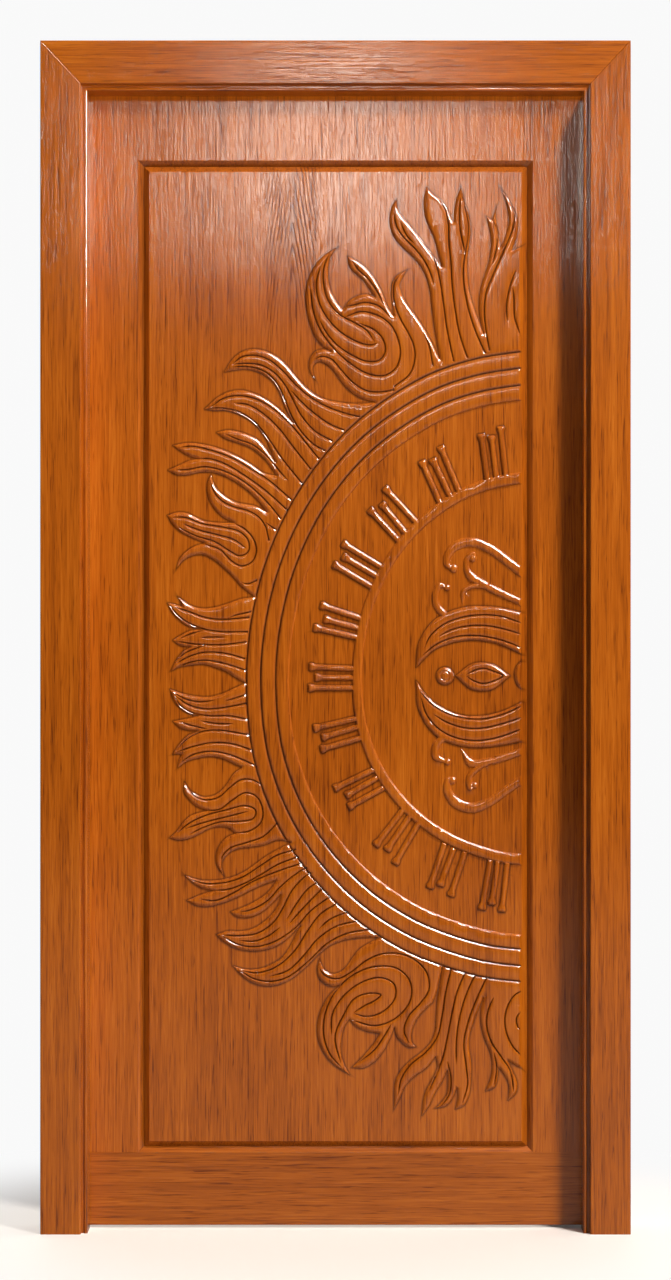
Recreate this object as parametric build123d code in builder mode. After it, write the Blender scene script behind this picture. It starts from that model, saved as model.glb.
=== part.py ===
from build123d import *
import os
from math import hypot

# A carved temple door in its frame, in millimetres. +Z is up and the front faces -Y.
# X = 0 is the middle of the doorway, Y = 0 the middle of the frame's depth, Z = 0 the floor.

os.makedirs("parts", exist_ok=True)

# Frame round the doorway
CLEAR_HALF = 456.0  # half of the clear width
CLEAR_H = 2100.0  # clear height
FRAME_T = 60.0  # jambs and head, seen from the front
FRAME_D = 100.0  # jambs and head, front to back
REBATE_W = 13.0  # step that the leaf shuts into
BEAD_W = 6.6  # rounded bead round the opening
BEAD_R = 2.5
QUIRK_W = 4.9  # narrow groove between bead and casing
QUIRK_D = 4.0
FRONT_Y = -FRAME_D / 2
BACK_Y = FRAME_D / 2
FRAME_HALF = CLEAR_HALF + FRAME_T
FRAME_TOP = CLEAR_H + FRAME_T

# Leaf, flush with the back of the frame
LEAF_GAP = 3.0  # beside and above the leaf
FOOT_GAP = 5.0  # under it
STOP_GAP = 2.0  # between its front and the step
BOARD_T = 14.0  # front boards and carved panel
CORE_T = 20.0
SKIN_T = 4.0
LEAF_HALF = CLEAR_HALF + REBATE_W - LEAF_GAP
LEAF_TOP = CLEAR_H + REBATE_W - LEAF_GAP
SKIN_Y = BACK_Y - SKIN_T
CORE_Y = SKIN_Y - CORE_T
LEAF_Y = CORE_Y - BOARD_T
STOP_Y = LEAF_Y - STOP_GAP

# Carved panel and the sloped groove round it
PANEL_HALF = 356.0  # to the bottom of the groove
PANEL_FOOT = 150.5
PANEL_TOP = 1970.5
BEVEL_W = 10.5  # each slope of the groove, seen from the front
BEVEL_D = 9.0
FLOOR_Y = LEAF_Y + BEVEL_D

# Core behind the boards
STILE_W = 100.0
RAIL_W = 100.0
LOCK_RAIL_Z = 1000.0
BATTEN_W = 40.0
BATTENS = 5
CORE_HALF = LEAF_HALF - STILE_W

# Butt hinges on the left edge
HINGE_Z = (250.0, 1080.0, 1910.0)
HINGE_H = 100.0
KNUCKLES = 3
KNUCKLE_GAP = 0.3
KNUCKLE_R = 5.5
KNUCKLE_SIDES = 16  # drawn with flats to stay light, apart from the bore
KNUCKLE_CLEAR = 0.25  # between the knuckles and the leaf's back
PIN_R = 2.5
RUN_GAP = 0.05  # round the pin in the leaf's knuckles
PLATE_T = 2.5
PLATE_SETBACK = 2.0  # plates start this far behind the front boards
PLATE_ROOM = 1.0  # between a plate and the other side's knuckles
AXIS_X = -(LEAF_HALF + LEAF_GAP / 2)
AXIS_Y = BACK_Y + KNUCKLE_R + KNUCKLE_CLEAR
PLATE_Y = CORE_Y + PLATE_SETBACK
PLATE_END_Y = AXIS_Y - KNUCKLE_R - PLATE_ROOM

# Hinge screws with flat heads, three to a plate, the middle one further in
SCREW_R = 2.0
SCREW_HEAD_R = 4.0
SCREW_HEAD_H = 2.5  # as thick as the plate
SCREW_L = 25.0
SCREW_END = 16.0  # from the plate's ends
SCREW_SIDE = 7.0  # from the plate's hidden edge
SCREW_STAGGER = 7.0
SCREW_SIDES = 6  # screws are drawn six-sided to stay light

# Screws through the head into the jambs
CORNER_SIDE = 21.0  # in from the frame's outer face
CORNER_FACE = 22.0  # in from its front and back
CORNER_R = 3.0
CORNER_HEAD_R = 5.0
CORNER_HEAD_H = 4.0
CORNER_L = 75.0

# Holes that the frame is fixed to the wall through
WALL_HOLE_R = 4.0
WALL_HOLE_SETBACK = 20.0  # in from the frame's back
WALL_HOLE_Z = (150.0, 700.0, 1450.0, 2020.0)

# Flat casing boards on both sides
CASING_T = 12.0
CASING_EASE = 1.5  # their seen long edges are eased by this much
CASING_W = 74.5  # beside the doorway
CASING_HEAD_W = 80.0  # above it
HINGE_ROOM = 4.0  # between the rear casing and the knuckles
CASING_IN = CLEAR_HALF + BEAD_W + QUIRK_W
CASING_OUT = CASING_IN + CASING_W
CASING_HEAD_IN = CLEAR_H + BEAD_W + QUIRK_W
CASING_TOP = CASING_HEAD_IN + CASING_HEAD_W
REAR_IN = KNUCKLE_R - AXIS_X + HINGE_ROOM
REAR_HEAD_IN = CASING_HEAD_IN + REAR_IN - CASING_IN

OVERCUT = 1.0  # how far a cutter runs past what it cuts

# Carving. Its points are (a, b): a runs left from the groove at the panel's right edge and
# b runs up from the middle of the dial.
SUN_Z = 1041.2
RELIEF = 4.0  # height over the panel's ground
VEIN_D = 2.2
VEIN_HALF = 1.7
RING_B = -10.0  # middle of the ring
RING_GROOVES = (1.0, 0.949, 0.896)
RING_STEP = 0.848  # inner edge of the ring
BAND_OUT = 0.625  # band that the numeral bars stand on
BAND_IN = 0.588
GROOVE_HALF = 0.0036  # half of a ring groove, as a share of the ring like the five above
BAR_HALF = 4.8
BAR_ROOT = 8.0  # how far a bar runs into the band
FLARE_L = 14.0  # flared outer end of a bar
FLARE_W = 2.2

# Outermost groove of the ring, from its lowest point round the left to its highest
RING = [(0, -586), (99, -572), (238, -521), (357, -436), (447, -323), (502, -193), (521, -56),
        (513, 81), (479, 213), (416, 339), (322, 450), (198, 535), (102, 570), (0, 587)]

# Outer edge of the flames from the top to the bottom. Each line runs from one corner or tip to
# the next. It is drawn straight from point to point, which halves its faces.
FLAMES = [
    [(4, 784), (16, 778), (28, 773)],
    [(28, 773), (20, 797), (17, 822), (23, 845), (36, 869), (50, 892)],
    [(50, 892), (43, 872), (37, 850), (35, 825), (40, 800), (50, 778)],
    [(50, 778), (54, 808), (58, 836), (57, 857)],
    [(57, 857), (62, 842), (66, 830)],
    [(66, 830), (77, 837)],
    [(77, 837), (69, 803), (68, 778), (72, 752), (80, 726), (88, 697), (90, 670), (88, 645),
     (81, 618)],
    [(81, 618), (88, 636), (98, 664), (108, 700), (111, 730), (111, 758), (107, 785), (105, 810),
     (108, 838), (116, 864), (123, 892)],
    [(123, 892), (132, 868), (136, 848), (137, 826)],
    [(137, 826), (150, 852), (163, 869), (177, 880), (187, 892)],
    [(187, 892), (192, 873), (193, 855), (189, 832), (181, 812), (172, 790), (166, 766), (159, 743)],
    [(159, 743), (172, 760), (186, 779), (203, 802), (216, 818), (231, 835), (240, 851), (243, 869)],
    [(243, 869), (251, 856), (256, 838), (255, 816), (247, 796), (234, 780), (216, 763), (199, 744),
     (188, 722), (181, 695), (178, 668), (174, 635), (169, 605), (163, 572)],
    [(163, 572), (177, 602), (190, 626), (205, 649), (222, 672), (232, 690), (237, 708)],
    [(237, 708), (231, 724), (222, 738)],
    [(222, 738), (243, 726), (251, 714), (253, 697), (251, 675), (249, 652)],
    [(249, 652), (260, 670), (268, 692), (277, 711), (288, 728), (303, 744), (319, 756), (334, 763)],
    [(334, 763), (332, 745), (321, 731), (306, 718), (294, 702), (284, 687)],
    [(284, 687), (300, 692), (318, 688), (333, 678), (343, 663)],
    [(343, 663), (355, 680), (364, 698), (369, 720), (369, 743), (363, 765), (351, 780)],
    [(351, 780), (372, 768), (390, 752), (404, 728), (411, 704), (412, 675), (406, 642), (396, 615),
     (382, 596), (365, 586)],
    [(365, 586), (378, 590), (393, 586), (403, 574), (406, 558), (402, 544), (393, 531)],
    [(393, 531), (398, 547), (397, 559), (388, 566), (374, 562), (360, 549), (346, 529), (330, 512),
     (310, 499), (284, 491)],
    [(284, 491), (318, 489), (352, 492), (380, 499), (404, 513), (426, 535), (446, 559), (468, 578),
     (490, 588), (514, 590), (536, 582), (551, 567), (563, 547)],
    [(563, 547), (545, 550), (524, 552), (503, 548), (484, 538), (469, 523), (458, 503), (449, 478),
     (434, 452)],
    [(434, 452), (456, 475), (480, 494), (504, 507), (530, 514), (554, 511), (576, 500), (600, 478)],
    [(600, 478), (580, 475), (560, 475), (538, 469), (518, 458), (500, 443), (487, 424), (477, 402),
     (468, 380)],
    [(468, 380), (482, 401), (499, 421), (520, 432), (540, 438), (557, 440), (578, 435)],
    [(578, 435), (562, 424), (540, 416), (518, 408), (500, 396), (484, 380), (466, 355)],
    [(466, 355), (490, 361), (515, 378), (545, 395), (575, 407), (605, 414), (632, 416), (659, 411)],
    [(659, 411), (644, 400), (628, 391), (611, 386)],
    [(611, 386), (628, 383), (648, 374), (668, 365)],
    [(668, 365), (650, 356), (630, 356), (608, 361), (588, 361), (566, 355), (544, 344), (524, 330),
     (506, 314), (484, 288)],
    [(484, 288), (502, 298), (520, 302), (540, 306), (558, 315), (573, 327), (582, 341), (587, 358)],
    [(587, 358), (594, 342), (595, 325), (589, 306), (578, 289), (563, 276), (545, 268)],
    [(545, 268), (570, 268), (597, 271), (615, 278), (632, 286), (650, 287), (669, 281)],
    [(669, 281), (659, 265), (645, 251), (626, 241), (600, 230)],
    [(600, 230), (618, 224), (634, 214), (646, 200), (652, 181)],
    [(652, 181), (640, 196), (622, 206), (604, 208), (585, 200), (566, 185), (548, 168), (530, 148),
     (507, 130)],
    [(507, 130), (530, 127), (556, 118), (580, 111), (604, 109), (626, 115), (651, 132)],
    [(651, 132), (645, 121), (642, 113)],
    [(642, 113), (655, 116), (669, 119)],
    [(669, 119), (660, 101), (646, 86), (630, 75), (607, 70)],
    [(607, 70), (624, 68), (640, 61), (659, 49)],
    [(659, 49), (644, 39), (626, 37)],
    [(626, 37), (640, 28), (652, 13), (662, -8)],
    [(662, -8), (645, -1), (622, 3), (600, 4), (578, -2), (556, -11), (538, -23), (524, -30)],
    [(524, -30), (544, -39), (566, -49), (590, -55), (615, -54), (640, -49), (664, -41)],
    [(664, -41), (657, -62), (644, -78), (628, -88), (611, -91)],
    [(611, -91), (634, -96), (659, -101)],
    [(659, -101), (646, -113), (630, -118), (612, -119)],
    [(612, -119), (630, -127), (646, -143), (659, -163)],
    [(659, -163), (650, -162), (642, -163)],
    [(642, -163), (647, -174), (649, -188)],
    [(649, -188), (634, -177), (612, -170), (590, -167), (568, -170), (548, -179), (530, -187)],
    [(530, -187), (546, -199), (557, -216), (574, -234), (596, -241), (616, -236), (629, -225),
     (637, -212)],
    [(637, -212), (638, -232), (627, -248), (613, -260), (595, -267)],
    [(595, -267), (612, -271), (628, -278), (641, -291), (650, -304), (665, -318)],
    [(665, -318), (646, -322), (625, -318), (606, -309), (590, -301), (572, -297), (556, -299),
     (543, -309)],
    [(543, -309), (559, -317), (571, -330), (578, -348), (578, -364), (571, -378), (562, -389)],
    [(562, -389), (567, -374), (565, -359), (552, -345), (535, -338), (512, -335), (488, -331),
     (462, -322), (440, -326)],
    [(440, -326), (458, -336), (482, -349), (503, -364), (526, -380), (552, -391), (580, -396),
     (608, -395), (637, -387)],
    [(637, -387), (622, -401), (604, -411), (584, -416)],
    [(584, -416), (602, -421), (633, -434)],
    [(633, -434), (612, -444), (590, -445), (566, -439), (540, -429), (514, -416), (490, -405),
     (466, -397)],
    [(466, -397), (482, -418), (502, -433), (524, -444), (552, -455)],
    [(552, -455), (540, -464), (520, -466), (502, -461), (486, -451), (472, -438), (458, -423)],
    [(458, -423), (462, -440), (472, -456), (487, -471), (507, -484), (530, -490), (556, -490),
     (578, -497)],
    [(578, -497), (562, -512), (540, -523), (514, -528), (488, -526), (464, -518), (442, -502),
     (422, -481)],
    [(422, -481), (432, -501), (443, -522), (456, -539), (474, -551), (497, -560), (522, -561),
     (547, -555)],
    [(547, -555), (530, -574), (510, -587), (486, -593), (460, -590), (434, -577), (410, -557),
     (388, -535), (364, -517), (336, -507), (304, -503), (276, -503)],
    [(276, -503), (295, -513), (312, -524), (325, -540), (337, -557), (350, -567), (364, -569),
     (377, -561), (386, -542)],
    [(386, -542), (391, -562), (386, -580), (374, -590), (362, -594), (350, -592)],
    [(350, -592), (366, -607), (379, -627), (388, -650), (391, -675), (387, -698), (377, -719),
     (361, -738), (329, -758)],
    [(329, -758), (340, -737), (346, -714), (345, -690), (340, -670), (331, -655)],
    [(331, -655), (318, -668), (298, -677), (274, -681)],
    [(274, -681), (286, -700), (301, -718), (326, -744)],
    [(326, -744), (304, -745), (284, -734), (268, -715), (256, -693), (247, -670)],
    [(247, -670), (243, -686), (233, -698), (220, -707), (206, -706)],
    [(206, -706), (214, -697), (215, -682), (211, -667), (203, -652), (191, -638), (176, -624)],
    [(176, -624), (167, -600), (162, -575), (158, -556)],
    [(158, -556), (163, -590), (168, -620), (170, -650), (172, -675), (180, -697), (197, -715),
     (218, -731), (236, -750), (246, -772), (248, -822)],
    [(248, -822), (236, -800), (226, -778), (208, -760), (187, -745), (170, -724)],
    [(170, -724), (168, -745), (177, -765), (188, -785), (194, -805), (196, -834)],
    [(196, -834), (182, -815), (172, -793), (158, -770), (149, -750)],
    [(149, -750), (148, -772), (150, -792), (160, -808), (172, -820)],
    [(172, -820), (150, -815), (138, -800), (131, -782)],
    [(131, -782), (130, -800), (134, -822)],
    [(134, -822), (118, -815), (108, -795), (104, -765), (104, -735), (108, -705), (107, -685),
     (98, -655), (82, -614)],
    [(82, -614), (87, -638), (87, -660), (81, -688), (71, -712), (66, -736), (68, -760), (78, -788)],
    [(78, -788), (62, -782), (55, -766), (53, -745)],
    [(53, -745), (42, -760), (35, -778), (36, -806)],
    [(36, -806), (20, -790), (19, -770), (27, -750), (36, -731)],
    [(36, -731), (22, -740), (4, -748)],
]

# The strongest veins in the flames, each from one pointed end to the other
VEINS = [
    [(42, 878), (24, 838), (28, 811), (53, 752), (77, 694), (78, 630), (71, 589)],
    [(248, 842), (242, 815), (209, 776), (181, 733), (173, 708)],
    [(208, 807), (180, 772), (162, 715), (149, 625), (137, 568)],
    [(124, 882), (110, 812), (119, 738), (109, 662), (79, 583)],
    [(384, 744), (388, 680), (345, 620), (277, 601)],
    [(396, 570), (364, 571), (322, 526), (248, 514)],
    [(588, 482), (532, 503), (470, 477), (387, 386)],
    [(596, 479), (538, 474), (482, 425), (418, 340)],
    [(563, 433), (510, 412), (444, 345)],
    [(646, 407), (588, 402), (515, 368), (438, 310)],
    [(612, 386), (560, 376), (447, 292)],
    [(654, 365), (600, 371), (536, 350), (457, 274)],
    [(653, 48), (595, 41), (522, 46)],
    [(652, 6), (605, 26), (524, 15)],
    [(652, -154), (602, -120), (518, -126)],
    [(628, -394), (565, -401), (495, -369), (432, -340)],
    [(535, -456), (482, -434), (410, -372)],
    [(566, -498), (500, -494), (454, -448), (402, -382)],
    [(532, -564), (465, -556), (408, -490), (353, -439)],
    [(142, -563), (158, -645), (190, -717), (240, -795)],
]

# Numeral bars, three to a numeral: the middle of each one's foot and of its tip
BARS = [
    ((75, 350), (86, 433)), ((58, 353), (67, 430)), ((40, 350), (50, 447)),
    ((165, 310), (197, 383)), ((145, 320), (177, 387)), ((127, 326), (162, 410)),
    ((242, 237), (294, 293)), ((227, 249), (272, 304)), ((205, 267), (266, 333)),
    ((292, 150), (361, 191)), ((281, 169), (344, 206)), ((272, 186), (344, 230)),
    ((323, 56), (398, 73)), ((318, 73), (379, 89)), ((313, 91), (385, 115)),
    ((330, -3), (406, 0)), ((330, -20), (396, -20)), ((330, -39), (408, -39)),
    ((322, -97), (398, -115)), ((320, -113), (383, -132)), ((313, -133), (385, -154)),
    ((292, -194), (360, -227)), ((284, -209), (338, -240)), ((273, -228), (333, -261)),
    ((232, -267), (283, -333)), ((218, -277), (262, -342)), ((203, -292), (247, -367)),
    ((156, -334), (182, -412)), ((139, -343), (163, -408)), ((118, -350), (143, -427)),
    ((70, -365), (85, -452)), ((56, -367), (67, -443)), ((38, -370), (48, -456)),
]

# Crescents and almond in the middle of the dial
HEART = [
    [[(4, 100), (62, 112), (118, 111), (172, 88), (203, 42), (207, -2)],
     [(207, -2), (170, 32), (118, 48), (62, 44), (4, 20)], [(4, 20), (4, 100)]],
    [[(4, -62), (60, -86), (122, -89), (178, -62), (207, -24)],
     [(207, -24), (203, -78), (168, -130), (108, -150), (40, -145), (4, -137)],
     [(4, -137), (4, -62)]],
    [[(134, -17), (100, 7), (64, 5), (31, -17)], [(31, -17), (66, -43), (104, -42), (134, -17)]],
]
HEART_VEINS = [
    [(192, 33), (158, 77), (92, 96), (4, 79)],
    [(167, 55), (108, 76), (4, 58)],
    [(200, -45), (150, -86), (85, -97), (4, -70)],
    [(176, -87), (118, -113), (48, -106), (4, -92)],
]

# Scrolls: middle line and half widths along it
SCROLLS = [
    ([(4, 170), (35, 194), (70, 219), (102, 231), (130, 226), (147, 208), (149, 190), (134, 178)],
     (9, 9, 9, 9, 9, 8, 6, 1)),
    ([(4, 116), (40, 132), (75, 149), (100, 163), (113, 182), (111, 203), (100, 210), (98, 198)],
     (6, 7, 8, 9, 6, 5, 4, 1)),
    ([(75, 149), (100, 150), (118, 141), (120, 114)], (5, 5, 5, 1)),
    ([(156, 98), (168, 114), (171, 133), (163, 151), (147, 146)], (7, 7, 7, 6, 1)),
    ([(158, -132), (170, -148), (169, -167), (146, -178)], (7, 8, 8, 1)),
    ([(4, -155), (45, -168), (80, -178), (106, -178), (122, -154)], (7, 8, 8, 8, 1)),
    ([(60, -172), (92, -188), (108, -207), (105, -226), (97, -220)], (5, 6, 6, 5, 1)),
    ([(4, -206), (38, -228), (72, -252), (104, -262), (133, -252), (149, -228), (147, -209),
      (137, -209)], (8, 9, 9, 10, 10, 8, 5, 1)),
]
DISC = (153, -17, 17)
HALF_DISC = (0, -15, 25, 29)
TOUCH = 1e-6  # line ends closer than this meet
STRAIGHT = 0.25  # an arc that bows less than this is drawn straight
GROUND = Plane.XZ.offset(-LEAF_Y)
FLOOR = Plane.XZ.offset(-FLOOR_Y)
PANEL_MID_Z = (PANEL_FOOT + PANEL_TOP) / 2


def panel_xz(point):
    """Turn a carving point (a, b) into X and Z."""
    return (PANEL_HALF - point[0], SUN_Z + point[1])


def bow(start, middle, end):
    """How far the middle point stands off the straight line between the other two."""
    dx = end[0] - start[0]
    dz = end[1] - start[1]
    return abs(dx * (middle[1] - start[1]) - dz * (middle[0] - start[0])) / hypot(dx, dz)


def edge(points):
    """One line of the carving: an arc through each three points, or straight where that will do."""
    left = [panel_xz(p) for p in points]
    while len(left) > 2:
        if bow(*left[:3]) < STRAIGHT:
            Line(left[0], left[2])
        else:
            ThreePointArc(*left[:3])
        left = left[2:]
    if len(left) == 2:
        Line(*left)


def offset_points(points, widths):
    """Move each point sideways by its width."""
    moved = []
    for i, (point, width) in enumerate(zip(points, widths)):
        before = points[max(i - 1, 0)]
        after = points[min(i + 1, len(points) - 1)]
        da = after[0] - before[0]
        db = after[1] - before[1]
        reach = width / hypot(da, db)
        moved.append((point[0] - db * reach, point[1] + da * reach))
    return moved


def strip(points, widths):
    """Both sides of a strip along the points, one side running back."""
    left = offset_points(points, widths)
    right = offset_points(points, [-w for w in widths])
    return left, right[::-1]


def vein(points):
    """Both sides of a vein, which is pointed at its two ends."""
    if len(points) % 2 == 0:  # the arcs of the two sides have to share their ends
        before, end = points[-2:]
        middle = ((before[0] + end[0]) / 2, (before[1] + end[1]) / 2)
        points = points[:-1] + [middle, end]
    return strip(points, [0.0] + [VEIN_HALF] * (len(points) - 2) + [0.0])


def ring(scale):
    """The ring's line drawn larger or smaller about the ring's middle."""
    return [(a * scale, RING_B + (b - RING_B) * scale) for a, b in RING]


def bar(foot, tip):
    """One numeral bar: a straight shaft that flares at its outer end."""
    length = hypot(tip[0] - foot[0], tip[1] - foot[1])
    ua = (tip[0] - foot[0]) / length
    ub = (tip[1] - foot[1]) / length
    shape = [(-BAR_ROOT, BAR_HALF), (length - FLARE_L, BAR_HALF), (length, BAR_HALF + FLARE_W)]
    left = [(foot[0] + s * ua - w * ub, foot[1] + s * ub + w * ua) for s, w in shape]
    right = [(foot[0] + s * ua + w * ub, foot[1] + s * ub - w * ua) for s, w in shape]
    return left + right[::-1]


def outline(lines, mode=Mode.ADD):
    """A face inside lines that follow each other. Gaps between their ends are closed straight."""
    with BuildLine() as border:
        for i, line in enumerate(lines):
            edge(line)
            start = lines[(i + 1) % len(lines)][0]
            if hypot(line[-1][0] - start[0], line[-1][1] - start[1]) > TOUCH:
                edge([line[-1], start])
    make_face(border.edges(), mode=mode)


def carving_sketch():
    with BuildSketch(GROUND) as sketch:
        with BuildLine():
            corners = [panel_xz(p) for line in FLAMES for p in line[:-1]]
            Polyline(*corners, panel_xz(FLAMES[-1][-1]), close=True)
        make_face()
        outline([ring(RING_STEP)], Mode.SUBTRACT)
        outline([ring(BAND_OUT)])
        for foot, tip in BARS:
            with BuildLine():
                Polyline(*[panel_xz(p) for p in bar(foot, tip)], close=True)
            make_face()
        outline([ring(BAND_IN)], Mode.SUBTRACT)
        for lines in HEART:
            outline(lines)
        for points, widths in SCROLLS:
            outline(strip(points, widths))
        with Locations(panel_xz(DISC[:2])):
            Circle(DISC[2])
        with Locations(panel_xz(HALF_DISC[:2])):
            Ellipse(HALF_DISC[2], HALF_DISC[3])
    return sketch.sketch


def groove_cutters():
    """The veins and the ring's grooves, as solids to cut from the carving."""
    cutters = []
    lines = [vein(points) for points in VEINS + HEART_VEINS]
    lines += [(ring(k + GROOVE_HALF), ring(k - GROOVE_HALF)[::-1]) for k in RING_GROOVES]
    for pair in lines:
        with BuildPart() as cutter:
            with BuildSketch(GROUND.offset(RELIEF)):
                outline(pair)
            extrude(amount=-VEIN_D)
        cutters.append(cutter.part)
    return cutters


def box_between(x, y, z, mode=Mode.ADD):
    """A box from its two ends along X, Y and Z."""
    with Locations(((x[0] + x[1]) / 2, (y[0] + y[1]) / 2, (z[0] + z[1]) / 2)):
        Box(abs(x[1] - x[0]), abs(y[1] - y[0]), abs(z[1] - z[0]), mode=mode)


def sloped_block(lean, rise):
    """A block standing on the groove's floor. Its sides lean out with 1 and in with -1."""
    grow = lean * rise * BEVEL_W / BEVEL_D
    with BuildPart() as block:
        for plane, more in ((FLOOR, 0.0), (FLOOR.offset(rise), grow)):
            with BuildSketch(plane):
                with Locations((0, PANEL_MID_Z)):
                    Rectangle(2 * (PANEL_HALF + more), PANEL_TOP - PANEL_FOOT + 2 * more)
        loft()
    return block.part


def save(part, name):
    part.label = name
    export_step(part, f"parts/{name}.step")


def screw_group(planes, head_r, head_h, shank_r, length):
    """Screws that start with their heads on the planes. Each one is a solid of its own."""
    with BuildPart() as group:
        for plane in planes:
            with BuildSketch(plane):
                RegularPolygon(head_r, SCREW_SIDES)
            extrude(amount=head_h)
            with BuildSketch(plane):
                RegularPolygon(shank_r, SCREW_SIDES)
            extrude(amount=length)
    return group.part


def hinge_screws(face_x, way):
    """Screws for one side of all the hinges. They point along X, away from the gap."""
    end = HINGE_H / 2 - SCREW_END
    near = PLATE_Y + SCREW_SIDE
    spots = [(near, -end), (near + SCREW_STAGGER, 0), (near, end)]
    planes = [Plane((face_x, y, z + dz), z_dir=(way, 0, 0)) for z in HINGE_Z for y, dz in spots]
    return screw_group(planes, SCREW_HEAD_R, SCREW_HEAD_H, SCREW_R, SCREW_L)


frame_face_x = AXIS_X - LEAF_GAP / 2
leaf_face_x = AXIS_X + LEAF_GAP / 2
frame_screws = hinge_screws(frame_face_x, -1)
leaf_screws = hinge_screws(leaf_face_x, 1)

corner_planes = [
    Plane((x, y, FRAME_TOP), z_dir=(0, 0, -1))
    for x in (CORNER_SIDE - FRAME_HALF, FRAME_HALF - CORNER_SIDE)
    for y in (FRONT_Y + CORNER_FACE, BACK_Y - CORNER_FACE)
]
corner_screws = screw_group(corner_planes, CORNER_HEAD_R, CORNER_HEAD_H, CORNER_R, CORNER_L)

# Jambs and head share one section: across the frame from the opening, and front to back
SECTION = [
    (0, FRONT_Y),
    (BEAD_W, FRONT_Y),
    (BEAD_W, FRONT_Y + QUIRK_D),
    (BEAD_W + QUIRK_W, FRONT_Y + QUIRK_D),
    (BEAD_W + QUIRK_W, FRONT_Y),
    (FRAME_T, FRONT_Y),
    (FRAME_T, BACK_Y),
    (REBATE_W, BACK_Y),
    (REBATE_W, STOP_Y),
    (0, STOP_Y),
]


def section_face(sketch, place):
    """Draw the section in the open sketch. place puts a section point into it."""
    with BuildLine() as border:
        Polyline(*[place(u, y) for u, y in SECTION], close=True)
    make_face(border.edges())
    for u in (0, BEAD_W):
        corner = Vector(*place(u, FRONT_Y))
        fillet(sketch.vertices().sort_by_distance(corner)[0], radius=BEAD_R)


def cut_mitre(side, keep_head):
    """Cut one end of the jamb or of the head along the corner's diagonal."""
    spare = FRAME_T + OVERCUT
    inner = (side * (CLEAR_HALF - OVERCUT), CLEAR_H - OVERCUT)
    outer = (side * (CLEAR_HALF + spare), CLEAR_H + spare)
    if keep_head:
        third = (side * (CLEAR_HALF + spare), CLEAR_H - OVERCUT)
    else:
        third = (side * (CLEAR_HALF - OVERCUT), CLEAR_H + spare)
    with BuildSketch(Plane.XZ.offset(-FRONT_Y + OVERCUT)) as corner:
        with BuildLine():
            Polyline(inner, outer, third, close=True)
        make_face()
    extrude(corner.sketch, amount=-FRAME_D - 2 * OVERCUT, mode=Mode.SUBTRACT)


def jamb(side):
    """One jamb, to the left with -1 and to the right with 1. The left one takes the hinges."""
    with BuildPart() as piece:
        with BuildSketch() as sketch:
            section_face(sketch, lambda u, y: (side * (CLEAR_HALF + u), y))
        extrude(amount=FRAME_TOP)
        cut_mitre(side, False)
        for z in WALL_HOLE_Z:
            spot = (side * FRAME_HALF, BACK_Y - WALL_HOLE_SETBACK, z)
            with Locations(Location(spot, (0, 90, 0))):
                Cylinder(WALL_HOLE_R, 2 * FRAME_T, mode=Mode.SUBTRACT)
        add(corner_screws, mode=Mode.SUBTRACT)
        if side < 0:
            for z in HINGE_Z:
                recess = (frame_face_x - PLATE_T, frame_face_x + OVERCUT)
                height = (z - HINGE_H / 2, z + HINGE_H / 2)
                box_between(recess, (PLATE_Y, BACK_Y + OVERCUT), height, Mode.SUBTRACT)
            add(frame_screws, mode=Mode.SUBTRACT)
    return piece.part


with BuildPart() as head_member:
    with BuildSketch(Plane.YZ.offset(-FRAME_HALF)) as head_sketch:
        section_face(head_sketch, lambda u, y: (y, CLEAR_H + u))
    extrude(amount=2 * FRAME_HALF)
    cut_mitre(-1, True)
    cut_mitre(1, True)
    add(corner_screws, mode=Mode.SUBTRACT)


def casing(points, rear, along):
    """A flat casing board, with the two edges of its seen face that run along an axis eased."""
    plane = Plane.XZ.offset(-BACK_Y - CASING_T) if rear else Plane.XZ.offset(-FRONT_Y)
    with BuildPart() as board:
        with BuildSketch(plane):
            with BuildLine():
                Polyline(*points, close=True)
            make_face()
        extrude(amount=CASING_T)
        seen = board.faces().sort_by(Axis.Y)[-1 if rear else 0]
        chamfer(seen.edges().filter_by(along), length=CASING_EASE)
    return board.part


def side_points(side, inner, inner_top):
    return [
        (side * CASING_OUT, 0),
        (side * inner, 0),
        (side * inner, inner_top),
        (side * CASING_OUT, CASING_TOP),
    ]


def head_points(inner, inner_top):
    return [
        (-inner, inner_top),
        (inner, inner_top),
        (CASING_OUT, CASING_TOP),
        (-CASING_OUT, CASING_TOP),
    ]


# Front boards: one round the panel's sides and top, one below with its grain across
groove_room = sloped_block(1, BEVEL_D)
leg_in = PANEL_HALF + BEVEL_W
joint_z = PANEL_FOOT - BEVEL_W

with BuildPart() as surround_board:
    with BuildSketch(GROUND):
        with BuildLine():
            Polyline(
                (-LEAF_HALF, joint_z), (-LEAF_HALF, LEAF_TOP), (LEAF_HALF, LEAF_TOP),
                (LEAF_HALF, joint_z), (leg_in, joint_z), (PANEL_HALF, PANEL_FOOT),
                (PANEL_HALF, PANEL_TOP), (-PANEL_HALF, PANEL_TOP), (-PANEL_HALF, PANEL_FOOT),
                (-leg_in, joint_z), close=True)
        make_face()
    extrude(amount=-BOARD_T)
    add(groove_room, mode=Mode.SUBTRACT)

with BuildPart() as bottom_board:
    with BuildSketch(GROUND):
        with BuildLine():
            Polyline(
                (-LEAF_HALF, FOOT_GAP), (LEAF_HALF, FOOT_GAP), (LEAF_HALF, joint_z),
                (leg_in, joint_z), (PANEL_HALF, PANEL_FOOT), (-PANEL_HALF, PANEL_FOOT),
                (-leg_in, joint_z), (-LEAF_HALF, joint_z), close=True)
        make_face()
    extrude(amount=-BOARD_T)
    add(groove_room, mode=Mode.SUBTRACT)

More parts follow.
